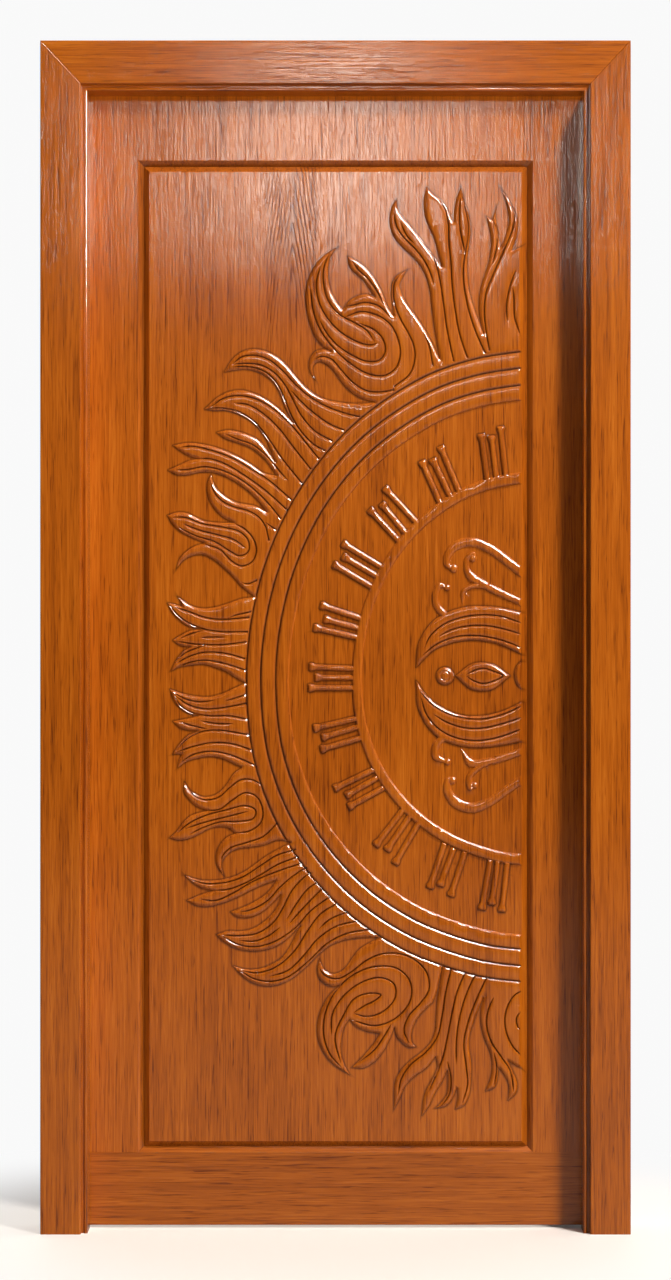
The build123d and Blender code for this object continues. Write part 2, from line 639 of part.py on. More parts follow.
# The border's slope runs on through the carving, so both are held inside one sloped block
with BuildPart() as carving:
    extrude(carving_sketch(), amount=RELIEF)
    add(sloped_block(-1, BEVEL_D + RELIEF), mode=Mode.INTERSECT)

with BuildPart() as carved_panel:
    add(sloped_block(-1, BEVEL_D))
    box_between((-PANEL_HALF, PANEL_HALF), (FLOOR_Y, CORE_Y), (PANEL_FOOT, PANEL_TOP))
    add(carving.part)
    add(groove_cutters(), mode=Mode.SUBTRACT)


def cut_hinge_recesses(y):
    """Let the hinge plates into the leaf's edge over this range of Y."""
    for z in HINGE_Z:
        recess = (leaf_face_x - OVERCUT, leaf_face_x + PLATE_T)
        box_between(recess, y, (z - HINGE_H / 2, z + HINGE_H / 2), Mode.SUBTRACT)


with BuildPart() as hinge_stile:
    box_between((-LEAF_HALF, -CORE_HALF), (CORE_Y, SKIN_Y), (FOOT_GAP, LEAF_TOP))
    cut_hinge_recesses((PLATE_Y, SKIN_Y + OVERCUT))
    add(leaf_screws, mode=Mode.SUBTRACT)

with BuildPart() as lock_stile:
    box_between((CORE_HALF, LEAF_HALF), (CORE_Y, SKIN_Y), (FOOT_GAP, LEAF_TOP))

RAILS = {
    "bottom_rail_core": (FOOT_GAP, FOOT_GAP + RAIL_W),
    "middle_rail_core": (LOCK_RAIL_Z - RAIL_W / 2, LOCK_RAIL_Z + RAIL_W / 2),
    "top_rail_core": (LEAF_TOP - RAIL_W, LEAF_TOP),
}
rail_ends = list(RAILS.values())

with BuildPart() as battens:
    for lower, upper in zip(rail_ends, rail_ends[1:]):
        for i in range(BATTENS):
            x = (i + 1) * 2 * CORE_HALF / (BATTENS + 1) - CORE_HALF
            width = (x - BATTEN_W / 2, x + BATTEN_W / 2)
            box_between(width, (CORE_Y, SKIN_Y), (lower[1], upper[0]))

with BuildPart() as rear_skin:
    box_between((-LEAF_HALF, LEAF_HALF), (SKIN_Y, BACK_Y), (FOOT_GAP, LEAF_TOP))
    cut_hinge_recesses((SKIN_Y - OVERCUT, BACK_Y + OVERCUT))


def hinge_leaf(z, way, turns, bore, screws):
    """One side of a butt hinge: a plate let into the wood, and its share of the knuckles."""
    pitch = HINGE_H / KNUCKLES
    low = z - HINGE_H / 2
    face = AXIS_X + way * LEAF_GAP / 2
    plate = (face, face + way * PLATE_T)
    with BuildPart() as piece:
        box_between(plate, (PLATE_Y, PLATE_END_Y), (low, low + HINGE_H))
        for i in turns:
            start = low + i * pitch + (KNUCKLE_GAP / 2 if i > 0 else 0)
            end = low + (i + 1) * pitch - (KNUCKLE_GAP / 2 if i < KNUCKLES - 1 else 0)
            with BuildSketch(Plane.XY.offset(start)):
                with Locations(((plate[0] + plate[1]) / 2, PLATE_END_Y)):
                    Rectangle(PLATE_T, AXIS_Y - PLATE_END_Y, align=(Align.CENTER, Align.MIN))
                with Locations((AXIS_X, AXIS_Y)):
                    RegularPolygon(KNUCKLE_R, KNUCKLE_SIDES)
                    Circle(bore, mode=Mode.SUBTRACT)
            extrude(amount=end - start)
        add(screws, mode=Mode.SUBTRACT)
    return piece.part


def hinge_pin(z):
    with BuildPart() as pin:
        with Locations((AXIS_X, AXIS_Y, z)):
            Cylinder(PIN_R, HINGE_H)
    return pin.part


save(jamb(-1), "left_jamb")
save(jamb(1), "right_jamb")
save(head_member.part, "head_member")
save(casing(side_points(-1, CASING_IN, CASING_HEAD_IN), False, Axis.Z), "front_left_casing")
save(casing(side_points(1, CASING_IN, CASING_HEAD_IN), False, Axis.Z), "front_right_casing")
save(casing(head_points(CASING_IN, CASING_HEAD_IN), False, Axis.X), "front_head_casing")
save(casing(side_points(-1, REAR_IN, REAR_HEAD_IN), True, Axis.Z), "rear_left_casing")
save(casing(side_points(1, REAR_IN, REAR_HEAD_IN), True, Axis.Z), "rear_right_casing")
save(casing(head_points(REAR_IN, REAR_HEAD_IN), True, Axis.X), "rear_head_casing")
save(corner_screws, "frame_corner_screws")
save(frame_screws, "frame_hinge_screws")
save(leaf_screws, "door_hinge_screws")
save(surround_board.part, "front_surround_board")
save(bottom_board.part, "front_bottom_board")
save(carved_panel.part, "carved_panel")
save(hinge_stile.part, "hinge_stile_core")
save(lock_stile.part, "lock_stile_core")
for rail_name, rail_z in RAILS.items():
    with BuildPart() as rail:
        box_between((-CORE_HALF, CORE_HALF), (CORE_Y, SKIN_Y), rail_z)
    save(rail.part, rail_name)
save(battens.part, "core_battens")
save(rear_skin.part, "rear_skin")
# The frame's side of each hinge has the odd knuckles and grips the pin
for place, hinge_z in zip(("bottom", "middle", "top"), HINGE_Z):
    frame_leaf = hinge_leaf(hinge_z, -1, range(0, KNUCKLES, 2), PIN_R, frame_screws)
    door_leaf = hinge_leaf(hinge_z, 1, range(1, KNUCKLES, 2), PIN_R + RUN_GAP, leaf_screws)
    save(frame_leaf, f"{place}_hinge_frame_leaf")
    save(door_leaf, f"{place}_hinge_door_leaf")
    save(hinge_pin(hinge_z), f"{place}_hinge_pin")
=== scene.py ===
# %% [markdown]
# # A carved temple door in its frame
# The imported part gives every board, hinge and screw with its size. This script adds the fine form of the
# carving, the wood, the brass and the light, in the part's own frame: metres, +Z up, the front faces -Y.

# %% Load the part
import bpy
import math
import numpy as np
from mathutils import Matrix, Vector, kdtree
from mathutils.geometry import delaunay_2d_cdt


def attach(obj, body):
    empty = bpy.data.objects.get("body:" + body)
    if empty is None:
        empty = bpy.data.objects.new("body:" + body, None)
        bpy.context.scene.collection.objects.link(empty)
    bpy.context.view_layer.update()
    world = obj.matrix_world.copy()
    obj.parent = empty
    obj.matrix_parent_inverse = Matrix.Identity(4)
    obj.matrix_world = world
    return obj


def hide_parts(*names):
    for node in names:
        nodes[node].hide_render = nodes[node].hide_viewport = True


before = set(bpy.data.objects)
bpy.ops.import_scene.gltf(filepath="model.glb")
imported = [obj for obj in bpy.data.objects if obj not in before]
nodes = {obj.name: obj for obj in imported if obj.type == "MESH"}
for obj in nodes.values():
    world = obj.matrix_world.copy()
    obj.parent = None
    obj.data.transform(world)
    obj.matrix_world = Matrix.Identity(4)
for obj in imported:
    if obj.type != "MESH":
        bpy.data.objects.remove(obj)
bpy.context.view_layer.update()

# %% [markdown]
# ## The lines of the carving
# A carver first draws the sun on the board and then cuts along the lines. The same lines are kept here as
# tables, because they are a drawing with no rule behind it. Points are (a, b) in millimetres: a runs left
# from the groove at the panel's right edge, b runs up from the middle of the dial. The ring's points were
# found by a program that followed its edge in the photo. The other tables were measured on enlarged
# parts of the photo.

# %% Ring and flames
def lines_of(text):
    """The lines of a table, each an array of its points. A row that starts with spaces continues one."""
    rows = text.strip().replace("\n  ", " ").splitlines()
    return [np.array([[float(v) for v in point.split(",")] for point in row.split()]) for row in rows]


# Outermost groove of the ring, from its lowest point round the left to its highest
RING = """
0,-586 99,-572 238,-521 357,-436 447,-323 502,-193 521,-56
  513,81 479,213 416,339 322,450 198,535 102,570 0,587
"""
# Outer edge of the flames, one line from each corner or tip to the next
FLAMES = """
4,784 16,778 28,773
28,773 20,797 17,822 23,845 36,869 50,892
50,892 43,872 37,850 35,825 40,800 50,778
50,778 54,808 58,836 57,857
57,857 62,842 66,830
66,830 77,837
77,837 69,803 68,778 72,752 80,726 88,697 90,670 88,645 81,618
81,618 88,636 98,664 108,700 111,730 111,758 107,785 105,810 108,838 116,864 123,892
123,892 132,868 136,848 137,826
137,826 150,852 163,869 177,880 187,892
187,892 192,873 193,855 189,832 181,812 172,790 166,766 159,743
159,743 172,760 186,779 203,802 216,818 231,835 240,851 243,869
243,869 251,856 256,838 255,816 247,796 234,780 216,763
  199,744 188,722 181,695 178,668 174,635 169,605 163,572
163,572 177,602 190,626 205,649 222,672 232,690 237,708
237,708 231,724 222,738
222,738 243,726 251,714 253,697 251,675 249,652
249,652 260,670 268,692 277,711 288,728 303,744 319,756 334,763
334,763 332,745 321,731 306,718 294,702 284,687
284,687 300,692 318,688 333,678 343,663
343,663 355,680 364,698 369,720 369,743 363,765 351,780
351,780 372,768 390,752 404,728 411,704 412,675 406,642 396,615 382,596 365,586
365,586 378,590 393,586 403,574 406,558 402,544 393,531
393,531 398,547 397,559 388,566 374,562 360,549 346,529 330,512 310,499 284,491
284,491 318,489 352,492 380,499 404,513 426,535 446,559 468,578 490,588 514,590 536,582 551,567 563,547
563,547 545,550 524,552 503,548 484,538 469,523 458,503 449,478 434,452
434,452 456,475 480,494 504,507 530,514 554,511 576,500 600,478
600,478 580,475 560,475 538,469 518,458 500,443 487,424 477,402 468,380
468,380 482,401 499,421 520,432 540,438 557,440 578,435
578,435 562,424 540,416 518,408 500,396 484,380 466,355
466,355 490,361 515,378 545,395 575,407 605,414 632,416 659,411
659,411 644,400 628,391 611,386
611,386 628,383 648,374 668,365
668,365 650,356 630,356 608,361 588,361 566,355 544,344 524,330 506,314 484,288
484,288 502,298 520,302 540,306 558,315 573,327 582,341 587,358
587,358 594,342 595,325 589,306 578,289 563,276 545,268
545,268 570,268 597,271 615,278 632,286 650,287 669,281
669,281 659,265 645,251 626,241 600,230
600,230 618,224 634,214 646,200 652,181
652,181 640,196 622,206 604,208 585,200 566,185 548,168 530,148 507,130
507,130 530,127 556,118 580,111 604,109 626,115 651,132
651,132 645,121 642,113
642,113 655,116 669,119
669,119 660,101 646,86 630,75 607,70
607,70 624,68 640,61 659,49
659,49 644,39 626,37
626,37 640,28 652,13 662,-8
662,-8 645,-1 622,3 600,4 578,-2 556,-11 538,-23 524,-30
524,-30 544,-39 566,-49 590,-55 615,-54 640,-49 664,-41
664,-41 657,-62 644,-78 628,-88 611,-91
611,-91 634,-96 659,-101
659,-101 646,-113 630,-118 612,-119
612,-119 630,-127 646,-143 659,-163
659,-163 650,-162 642,-163
642,-163 647,-174 649,-188
649,-188 634,-177 612,-170 590,-167 568,-170 548,-179 530,-187
530,-187 546,-199 557,-216 574,-234 596,-241 616,-236 629,-225 637,-212
637,-212 638,-232 627,-248 613,-260 595,-267
595,-267 612,-271 628,-278 641,-291 650,-304 665,-318
665,-318 646,-322 625,-318 606,-309 590,-301 572,-297 556,-299 543,-309
543,-309 559,-317 571,-330 578,-348 578,-364 571,-378 562,-389
562,-389 567,-374 565,-359 552,-345 535,-338 512,-335 488,-331 462,-322 440,-326
440,-326 458,-336 482,-349 503,-364 526,-380 552,-391 580,-396 608,-395 637,-387
637,-387 622,-401 604,-411 584,-416
584,-416 602,-421 633,-434
633,-434 612,-444 590,-445 566,-439 540,-429 514,-416 490,-405 466,-397
466,-397 482,-418 502,-433 524,-444 552,-455
552,-455 540,-464 520,-466 502,-461 486,-451 472,-438 458,-423
458,-423 462,-440 472,-456 487,-471 507,-484 530,-490 556,-490 578,-497
578,-497 562,-512 540,-523 514,-528 488,-526 464,-518 442,-502 422,-481
422,-481 432,-501 443,-522 456,-539 474,-551 497,-560 522,-561 547,-555
547,-555 530,-574 510,-587 486,-593 460,-590 434,-577 410,-557 388,-535 364,-517 336,-507 304,-503 276,-503
276,-503 295,-513 312,-524 325,-540 337,-557 350,-567 364,-569 377,-561 386,-542
386,-542 391,-562 386,-580 374,-590 362,-594 350,-592
350,-592 366,-607 379,-627 388,-650 391,-675 387,-698 377,-719 361,-738 329,-758
329,-758 340,-737 346,-714 345,-690 340,-670 331,-655
331,-655 318,-668 298,-677 274,-681
274,-681 286,-700 301,-718 326,-744
326,-744 304,-745 284,-734 268,-715 256,-693 247,-670
247,-670 243,-686 233,-698 220,-707 206,-706
206,-706 214,-697 215,-682 211,-667 203,-652 191,-638 176,-624
176,-624 167,-600 162,-575 158,-556
158,-556 163,-590 168,-620 170,-650 172,-675 180,-697 197,-715 218,-731 236,-750 246,-772 248,-822
248,-822 236,-800 226,-778 208,-760 187,-745 170,-724
170,-724 168,-745 177,-765 188,-785 194,-805 196,-834
196,-834 182,-815 172,-793 158,-770 149,-750
149,-750 148,-772 150,-792 160,-808 172,-820
172,-820 150,-815 138,-800 131,-782
131,-782 130,-800 134,-822
134,-822 118,-815 108,-795 104,-765 104,-735 108,-705 107,-685 98,-655 82,-614
82,-614 87,-638 87,-660 81,-688 71,-712 66,-736 68,-760 78,-788
78,-788 62,-782 55,-766 53,-745
53,-745 42,-760 35,-778 36,-806
36,-806 20,-790 19,-770 27,-750 36,-731
36,-731 22,-740 4,-748
"""
print(len(lines_of(FLAMES)), "lines round the flames")

# %% [markdown]
# ## The grooves of the flames
# One row for each cut that the carver made along a flame, from end to end.

# %% Grooves in the flames
VEINS = """
42,878 30,860 24,838 28,811 40,781 53,752 66,722 77,694 80,662 78,630 71,589
64,830 57,812 56,790 60,765 66,744
21,737 33,704 39,668 37,640
27,705 25,680 24,650 12,612
248,842 242,815 228,795 209,776 193,756 181,733 173,708
208,807 194,792 180,772 170,748 162,715 156,675 149,625 137,568
165,867 153,850 147,822 146,790 142,750 140,712 135,668 126,618 112,575
124,882 116,853 110,825 110,800 115,770 119,738 117,703 109,662 96,622 79,583
124,872 126,845 125,812 119,782 116,766
236,826 224,800 209,784
236,727 246,715 249,695 246,672 236,646 221,619 211,596 209,572 218,544 247,520
191,618 182,594 176,562
402,702 399,668 389,634 372,606 350,581 322,558 293,543 264,541
  244,555 236,580 240,608 255,636 280,653 310,659 340,648
386,644 373,620 352,596 325,578 298,567 275,569 264,585 268,607 284,625 314,638
384,744 392,712 388,680 372,648 345,620 315,603 292,597 277,601
367,768 378,740 378,708 369,678 349,654 320,638 298,624 284,603
343,668 325,671 300,676 275,669 253,647
327,756 315,738 298,722 284,704 273,685 266,670
396,570 381,576 364,571 345,550 322,526 297,512 272,510 248,514
549,560 530,575 506,578 480,570 455,550 430,523 404,501 372,483 340,471 312,464
549,561 522,563 495,560 470,546 450,523 436,497 420,467 395,438 362,419
440,514 420,492 395,470 366,450 340,439
550,556 520,557 490,549 467,529 452,500 439,468 421,438 397,413 376,401
588,482 562,499 532,503 502,496 470,477 440,450 414,419 387,386
546,490 518,486 488,468 460,441 434,407 403,368
596,479 568,480 538,474 508,456 482,425 455,386 418,340
563,433 540,423 510,412 484,391 460,363 444,345
646,407 620,409 588,402 550,388 515,368 480,346 455,325 438,310
612,386 590,386 560,376 528,357 495,334 470,313 447,292
654,365 630,366 600,371 568,365 536,350 505,327 480,302 457,274
589,347 582,325 566,307 545,297 520,290 500,279 487,262 480,235
487,269 478,262 466,254
545,267 524,255 509,238 503,216 511,195 530,187 550,197 570,217 600,228
660,277 635,277 605,266 565,259 535,251 518,234 518,214 533,206 553,215 580,232 615,243 645,258 648,262
640,266 610,254 575,245 545,236 521,219
533,157 519,154 503,160
656,111 630,103 600,92 570,88 545,89 517,92
557,90 540,96 513,102
664,115 650,97 630,82 600,70 565,65 519,65
609,54 585,55 558,55
653,48 625,43 595,41 565,41 522,46
646,52 625,61 600,68
652,12 634,26 610,36 596,41
652,6 630,18 605,26 580,27 552,23 524,15
655,-4 630,7 600,12 570,8 545,1 522,-7
648,127 637,108
656,-49 634,-60 608,-65 579,-62
563,-64 545,-59 524,-52
654,-54 630,-70 600,-78 565,-76 523,-68
654,-56 643,-73 620,-86 590,-91 555,-91 521,-97
648,-101 620,-110 592,-116
609,-100 580,-105 544,-106
652,-154 630,-133 602,-120 570,-118 518,-126
653,-159 620,-148 585,-141 548,-143 510,-155
646,-179 620,-163 585,-157 550,-164 503,-184
632,-222 620,-238 598,-247 573,-242 552,-224 532,-210 514,-209 494,-218
600,-266 572,-265 548,-248 524,-234 504,-240 492,-262 494,-288 514,-304 543,-309
650,-309 630,-292 600,-277 560,-266 522,-258 505,-266 508,-281 535,-287 570,-288 600,-298 628,-311
636,-301 600,-289 560,-279 517,-268
568,-370 566,-352 552,-337 520,-326 490,-315 464,-290
628,-394 600,-402 565,-401 530,-391 495,-369 465,-350 432,-340
584,-415 555,-413 525,-402 495,-386 465,-368 425,-352
608,-431 580,-434 548,-421 510,-399 470,-382 420,-365
535,-456 510,-450 482,-434 458,-408 430,-385 410,-372
566,-498 530,-499 500,-494 472,-475 454,-448 438,-417 418,-394 402,-382
536,-508 505,-509 480,-499 457,-482
567,-500 535,-516 500,-519 465,-508 430,-484 402,-453 367,-427
447,-470 428,-439 408,-413 391,-401
443,-478 420,-452 396,-427 381,-412
532,-564 500,-568 465,-556 432,-527 408,-490 384,-459 353,-439
480,-575 445,-564 415,-536 390,-506 355,-482 313,-471
533,-564 510,-578 478,-584 445,-576 408,-548 372,-514 335,-495 297,-488
388,-487 365,-468 333,-455
388,-556 376,-573 352,-579 326,-566 300,-546 270,-533 235,-533
  205,-547 186,-570 183,-600 200,-626 220,-648 229,-675 219,-700
344,-745 366,-720 378,-684 375,-642 355,-601 320,-570 280,-556
  242,-560 218,-584 217,-618 240,-649 280,-666 326,-656
364,-684 362,-645 342,-612 308,-586 272,-577 247,-590 246,-615 268,-640 298,-649 324,-643
324,-643 300,-628 284,-620 272,-609 295,-606 322,-617 342,-648 357,-686 346,-738
252,-662 266,-686 285,-712 315,-736
142,-563 151,-600 158,-645 168,-688 190,-717 216,-738 234,-765 240,-795
116,-568 131,-605 141,-648 149,-690 157,-725 170,-758 184,-790
98,-573 115,-612 127,-656 132,-700 132,-738
76,-577 94,-616 109,-656 118,-698 114,-740 111,-775 121,-812
149,-730 142,-765 145,-793 161,-817
62,-612 73,-638 76,-664 67,-696 48,-725 32,-750 25,-790
62,-715 57,-745 62,-778
4,-598 26,-612 40,-640 41,-670 29,-702 8,-725
8,-635 20,-652 18,-668 8,-677
"""
print(len(lines_of(VEINS)), "grooves in the flames")

# %% [markdown]
# ## The middle of the dial
# Two crescents, an almond and some scrolls fill it, and groups of bars stand round it.

# %% Crescents, almond, bars and scrolls
# Three lines for each crescent, two for the almond
HEART = """
4,100 62,112 118,111 172,88 203,42 207,-2
207,-2 170,32 118,48 62,44 4,20
4,20 4,100
4,-62 60,-86 122,-89 178,-62 207,-24
207,-24 203,-78 168,-130 108,-150 40,-145 4,-137
4,-137 4,-62
134,-17 100,7 64,5 31,-17
31,-17 66,-43 104,-42 134,-17
"""
# Grooves in them
HEART_VEINS = """
192,33 181,56 158,77 128,90 92,96 52,94 4,79
167,55 140,69 108,76 75,76 40,69 4,58
196,20 168,42 135,55 100,58 62,53 30,43 4,31
200,-45 178,-69 150,-86 118,-95 85,-97 48,-89 4,-70
176,-87 150,-103 118,-113 85,-114 48,-106 4,-92
198,-55 187,-89 165,-115 135,-131 98,-137 58,-132 4,-113
115,-16 99,-7 82,-3 64,-8 46,-17 64,-27 83,-31 100,-26 115,-16
"""
# Numeral bars, foot and tip of each
BARS = """
75,350 86,433
58,353 67,430
40,350 50,447
165,310 197,383
145,320 177,387
127,326 162,410
242,237 294,293
227,249 272,304
205,267 266,333
292,150 361,191
281,169 344,206
272,186 344,230
323,56 398,73
318,73 379,89
313,91 385,115
330,-3 406,0
330,-20 396,-20
330,-39 408,-39
322,-97 398,-115
320,-113 383,-132
313,-133 385,-154
292,-194 360,-227
284,-209 338,-240
273,-228 333,-261
232,-267 283,-333
218,-277 262,-342
203,-292 247,-367
156,-334 182,-412
139,-343 163,-408
118,-350 143,-427
70,-365 85,-452
56,-367 67,-443
38,-370 48,-456
"""
# Scrolls: middle line, and the half width at each of its points
SCROLLS = [
    ("4,170 35,194 70,219 102,231 130,226 147,208 149,190 134,178", (9, 9, 9, 9, 9, 8, 6, 1)),
    ("4,116 40,132 75,149 100,163 113,182 111,203 100,210 98,198", (6, 7, 8, 9, 6, 5, 4, 1)),
    ("75,149 100,150 118,141 120,114", (5, 5, 5, 1)),
    ("156,98 168,114 171,133 163,151 147,146", (7, 7, 7, 6, 1)),
    ("158,-132 170,-148 169,-167 146,-178", (7, 8, 8, 1)),
    ("4,-155 45,-168 80,-178 106,-178 122,-154", (7, 8, 8, 8, 1)),
    ("60,-172 92,-188 108,-207 105,-226 97,-220", (5, 6, 6, 5, 1)),
    ("4,-206 38,-228 72,-252 104,-262 133,-252 149,-228 147,-209 137,-209", (8, 9, 9, 10, 10, 8, 5, 1)),
]


print(len(lines_of(BARS)), "bars and", len(SCROLLS), "scrolls")

# %% [markdown]
# ## Smooth lines
# The cuts are smooth, the tables hold only a few points of each. Bezier curves would need handles set by
# hand, so each line becomes a centripetal Catmull-Rom curve, which passes through every point without
# loops, sampled every few millimetres.

# %% Draw the lines
def through(points, step=4.0):
    """A smooth line through the points, with a sample about every step mm."""
    p = np.asarray(points, float)
    p = np.vstack([2 * p[0] - p[1], p, 2 * p[-1] - p[-2]])
    out = []
    for p0, p1, p2, p3 in zip(p, p[1:], p[2:], p[3:]):
        t1 = np.linalg.norm(p1 - p0) ** 0.5
        t2 = t1 + np.linalg.norm(p2 - p1) ** 0.5
        t3 = t2 + np.linalg.norm(p3 - p2) ** 0.5
        n = max(1, math.ceil(np.linalg.norm(p2 - p1) / step))
        t = (t1 + (t2 - t1) * np.arange(n) / n)[:, None]
        a1 = (t1 - t) / t1 * p0 + t / t1 * p1
        a2 = (t2 - t) / (t2 - t1) * p1 + (t - t1) / (t2 - t1) * p2
        a3 = (t3 - t) / (t3 - t2) * p2 + (t - t2) / (t3 - t2) * p3
        b1 = (t2 - t) / t2 * a1 + t / t2 * a2
        b2 = (t3 - t) / (t3 - t1) * a2 + (t - t1) / (t3 - t1) * a3
        out.append((t2 - t) / (t2 - t1) * b1 + (t - t1) / (t2 - t1) * b2)
    return np.vstack(out + [p[-2][None]])


def normals(line):
    """Unit normals to the left of a sampled line."""
    d = np.gradient(line, axis=0)
    d /= np.linalg.norm(d, axis=1)[:, None]
    return np.stack([-d[:, 1], d[:, 0]], axis=1)


RING_B = -10.0
ring_line = through(lines_of(RING)[0], 5.0)


def ring(scale):
    """The ring's line drawn larger or smaller about the ring's middle."""
    return (ring_line - (0, RING_B)) * scale + (0, RING_B)


def bar_outline(foot, tip, half=5.6, root=8.0, flare=14.0, wide=2.6):
    """A numeral bar: a straight shaft with a foot under the band and a flared outer end."""
    u = (tip - foot) / np.linalg.norm(tip - foot)
    n = np.array([-u[1], u[0]])
    length = np.linalg.norm(tip - foot)
    shape = [(-root, half), (length - flare, half), (length - 5, half + wide), (length, half + wide - 1.5)]
    left = [foot + s * u + w * n for s, w in shape]
    right = [foot + s * u - w * n for s, w in shape]
    corners = np.array(left + right[::-1])
    return np.vstack([through((p, q), 4.0)[:-1] for p, q in zip(corners, np.roll(corners, -1, axis=0))])


flame_lines = [through(l) for l in lines_of(FLAMES)]
vein_lines = [through(l) for l in lines_of(VEINS)]
heart_lines = [through(l) for l in lines_of(HEART)]
heart_veins = [through(l) for l in lines_of(HEART_VEINS)]
bars = [bar_outline(*l) for l in lines_of(BARS)]
scroll_lines = []
for text, widths in SCROLLS:
    points = lines_of(text)[0]
    middle = through(points, 3.0)
    reach = np.cumsum(np.r_[0, np.linalg.norm(np.diff(points, axis=0), axis=1)])
    along = np.cumsum(np.r_[0, np.linalg.norm(np.diff(middle, axis=0), axis=1)])
    scroll_lines.append((middle, np.interp(along / along[-1], reach / reach[-1], widths)))
drawn = sum(np.linalg.norm(np.diff(l, axis=0), axis=1).sum() for l in flame_lines + vein_lines)
print(round(drawn / 1000, 1), "m of flame edges and grooves")

# %% [markdown]
# ## How far a point is from a line
# A gouge leaves the same section all along its cut, so the carving's height at a point follows from the
# distance to the nearest outline, groove and ring line. A search tree over close samples of the lines
# gives that distance quickly.

# %% Distances
RELIEF = 4.0  # how far the raised parts stand out, in mm
EDGE_A = 10.5  # where the panel's flat face begins, beside the sloped groove
SLOPE = 9.0 / 10.5  # steepness of that groove
GROOVE_RINGS, STEP_RING, BAND_RINGS = (1.0, 0.949, 0.896), 0.848, (0.625, 0.588)  # scales of the ring's line
RING_REACH = 16.0  # a groove that ends nearer to the ring than this runs into it


class Near:
    """The distance from points to the nearest of some lines, and a value carried along the lines."""

    def __init__(self, lines, values=None, spacing=0.8):
        pts, tans, ends, vals = [], [], [], []
        for k, line in enumerate(lines):
            reach = np.cumsum(np.r_[0, np.linalg.norm(np.diff(line, axis=0), axis=1)])
            n = max(2, int(reach[-1] / spacing) + 1)
            s = np.linspace(0, reach[-1], n)
            p = np.stack([np.interp(s, reach, line[:, 0]), np.interp(s, reach, line[:, 1])], axis=1)
            t = np.gradient(p, axis=0)
            t /= np.linalg.norm(t, axis=1)[:, None]
            pts.append(p)
            tans.append(t)
            ends.append(np.r_[True, np.zeros(n - 2, bool), True])
            vals.append(np.interp(s, reach, values[k]) if values else np.ones(n))
        self.p, self.t = np.vstack(pts), np.vstack(tans)
        self.end, self.v = np.concatenate(ends), np.concatenate(vals)
        self.kd = kdtree.KDTree(len(self.p))
        for i, (a, b) in enumerate(self.p):
            self.kd.insert((a, b, 0), i)
        self.kd.balance()

    def __call__(self, points):
        i = np.array([self.kd.find((a, b, 0))[1] for a, b in points])
        d = points - self.p[i]
        far = np.linalg.norm(d, axis=1)
        side = np.abs(d[:, 0] * self.t[i, 1] - d[:, 1] * self.t[i, 0])
        return np.where(self.end[i], far, side), self.v[i]


def inside(points, outline):
    """Which points lie inside a closed outline."""
    order = np.argsort(points[:, 1])
    a, b = points[order].T
    odd = np.zeros(len(points), bool)
    for (a0, b0), (a1, b1) in zip(outline, np.roll(outline, -1, axis=0)):
        if b0 != b1:
            lo, hi = np.searchsorted(b, (min(b0, b1), max(b0, b1)))
            odd[lo:hi] ^= a[lo:hi] < a0 + (b[lo:hi] - b0) * (a1 - a0) / (b1 - b0)
    out = np.zeros(len(points), bool)
    out[order] = odd
    return out


def rise(t):
    """A rounded edge from 0 at its foot to 1."""
    return np.sin(np.clip(t, 0, 1) * math.pi / 2)


def taper(line, ease=16.0):
    """Strength along a groove: it starts from nothing, but where it meets the ring it stays full."""
    reach = np.cumsum(np.r_[0, np.linalg.norm(np.diff(line, axis=0), axis=1)])
    ends = [ring_dist(line[i:i + 1])[0][0] < RING_REACH for i in (0, len(line) - 1)]
    start = 1.0 if ends[0] else np.clip(reach / ease, 0, 1)
    stop = 1.0 if ends[1] else np.clip((reach[-1] - reach) / ease, 0, 1)
    return np.sqrt(np.minimum(start, stop) * np.ones(len(line)))


# %% [markdown]
# ## Every line gets its measure
# Outlines are closed, grooves get a strength that fades towards their free ends, and each kind of line
# gets a distance of its own, because each has its own section.

# %% Outlines and their distances
ring_dist = Near([ring(1.0)])
body_outline = np.vstack(flame_lines)
crescents = [np.vstack(heart_lines[0:3]), np.vstack(heart_lines[3:6]), np.vstack(heart_lines[6:8])]
turn = np.linspace(0, 2 * math.pi, 33)[:-1]
DISC = (153, -17)
BALLS = [((137, 182), 8.0), ((101, 201), 7.0), ((149, 147), 6.5),
         ((148, -177), 6.5), ((98, -220), 6.0), ((139, -211), 7.5)]  # round ends of the scrolls
discs = [np.stack([DISC[0] + 17 * np.cos(turn), DISC[1] + 17 * np.sin(turn)], axis=1),
         np.stack([25 * np.cos(turn), -15 + 29 * np.sin(turn)], axis=1)]
closed = [np.vstack([o, o[:1]]) for o in bars]
closed_discs = [np.vstack([o, o[:1]]) for o in discs]
vein_taper = [taper(l) for l in vein_lines]
heart_taper = [taper(l, 20.0) for l in heart_veins]

flame_dist = Near(flame_lines)
step_dist = Near([ring(STEP_RING)])
groove_dist = Near([ring(s) for s in GROOVE_RINGS])
band_dist = Near([ring(s) for s in BAND_RINGS])
bar_dist = Near(closed)
heart_dist = Near([l for l in heart_lines if l[:, 0].max() > 5])
disc_dist = Near(closed_discs)
vein_dist = Near(vein_lines + heart_veins, vein_taper + heart_taper)
scroll_dist = Near([l for l, w in scroll_lines], [w for l, w in scroll_lines])
print(len(vein_dist.p), "samples along the grooves")

# %% [markdown]
# ## The carving as a height
# Raised parts have rounded edges and cuts are V-shaped with eased lips. The cuts are darkened, partly
# by a dark stain and partly as painted shade, and the foot of the raised edges gets a painted shadow.
# Sculpting could give the same, but a height worked out from the distances is exact along hundreds of
# lines and can be changed by one number.

# %% Height, stain and painted shade
VEIN_HALF, VEIN_D = 2.1, 2.4
GROOVE_HALF, GROOVE_D = 3.1, 2.8
# Widths of the rounded edges
FLAME_EDGE, RING_EDGE, BAR_EDGE, HEART_EDGE, DISC_EDGE = 6.0, 3.5, 3.4, 5.0, 6.0


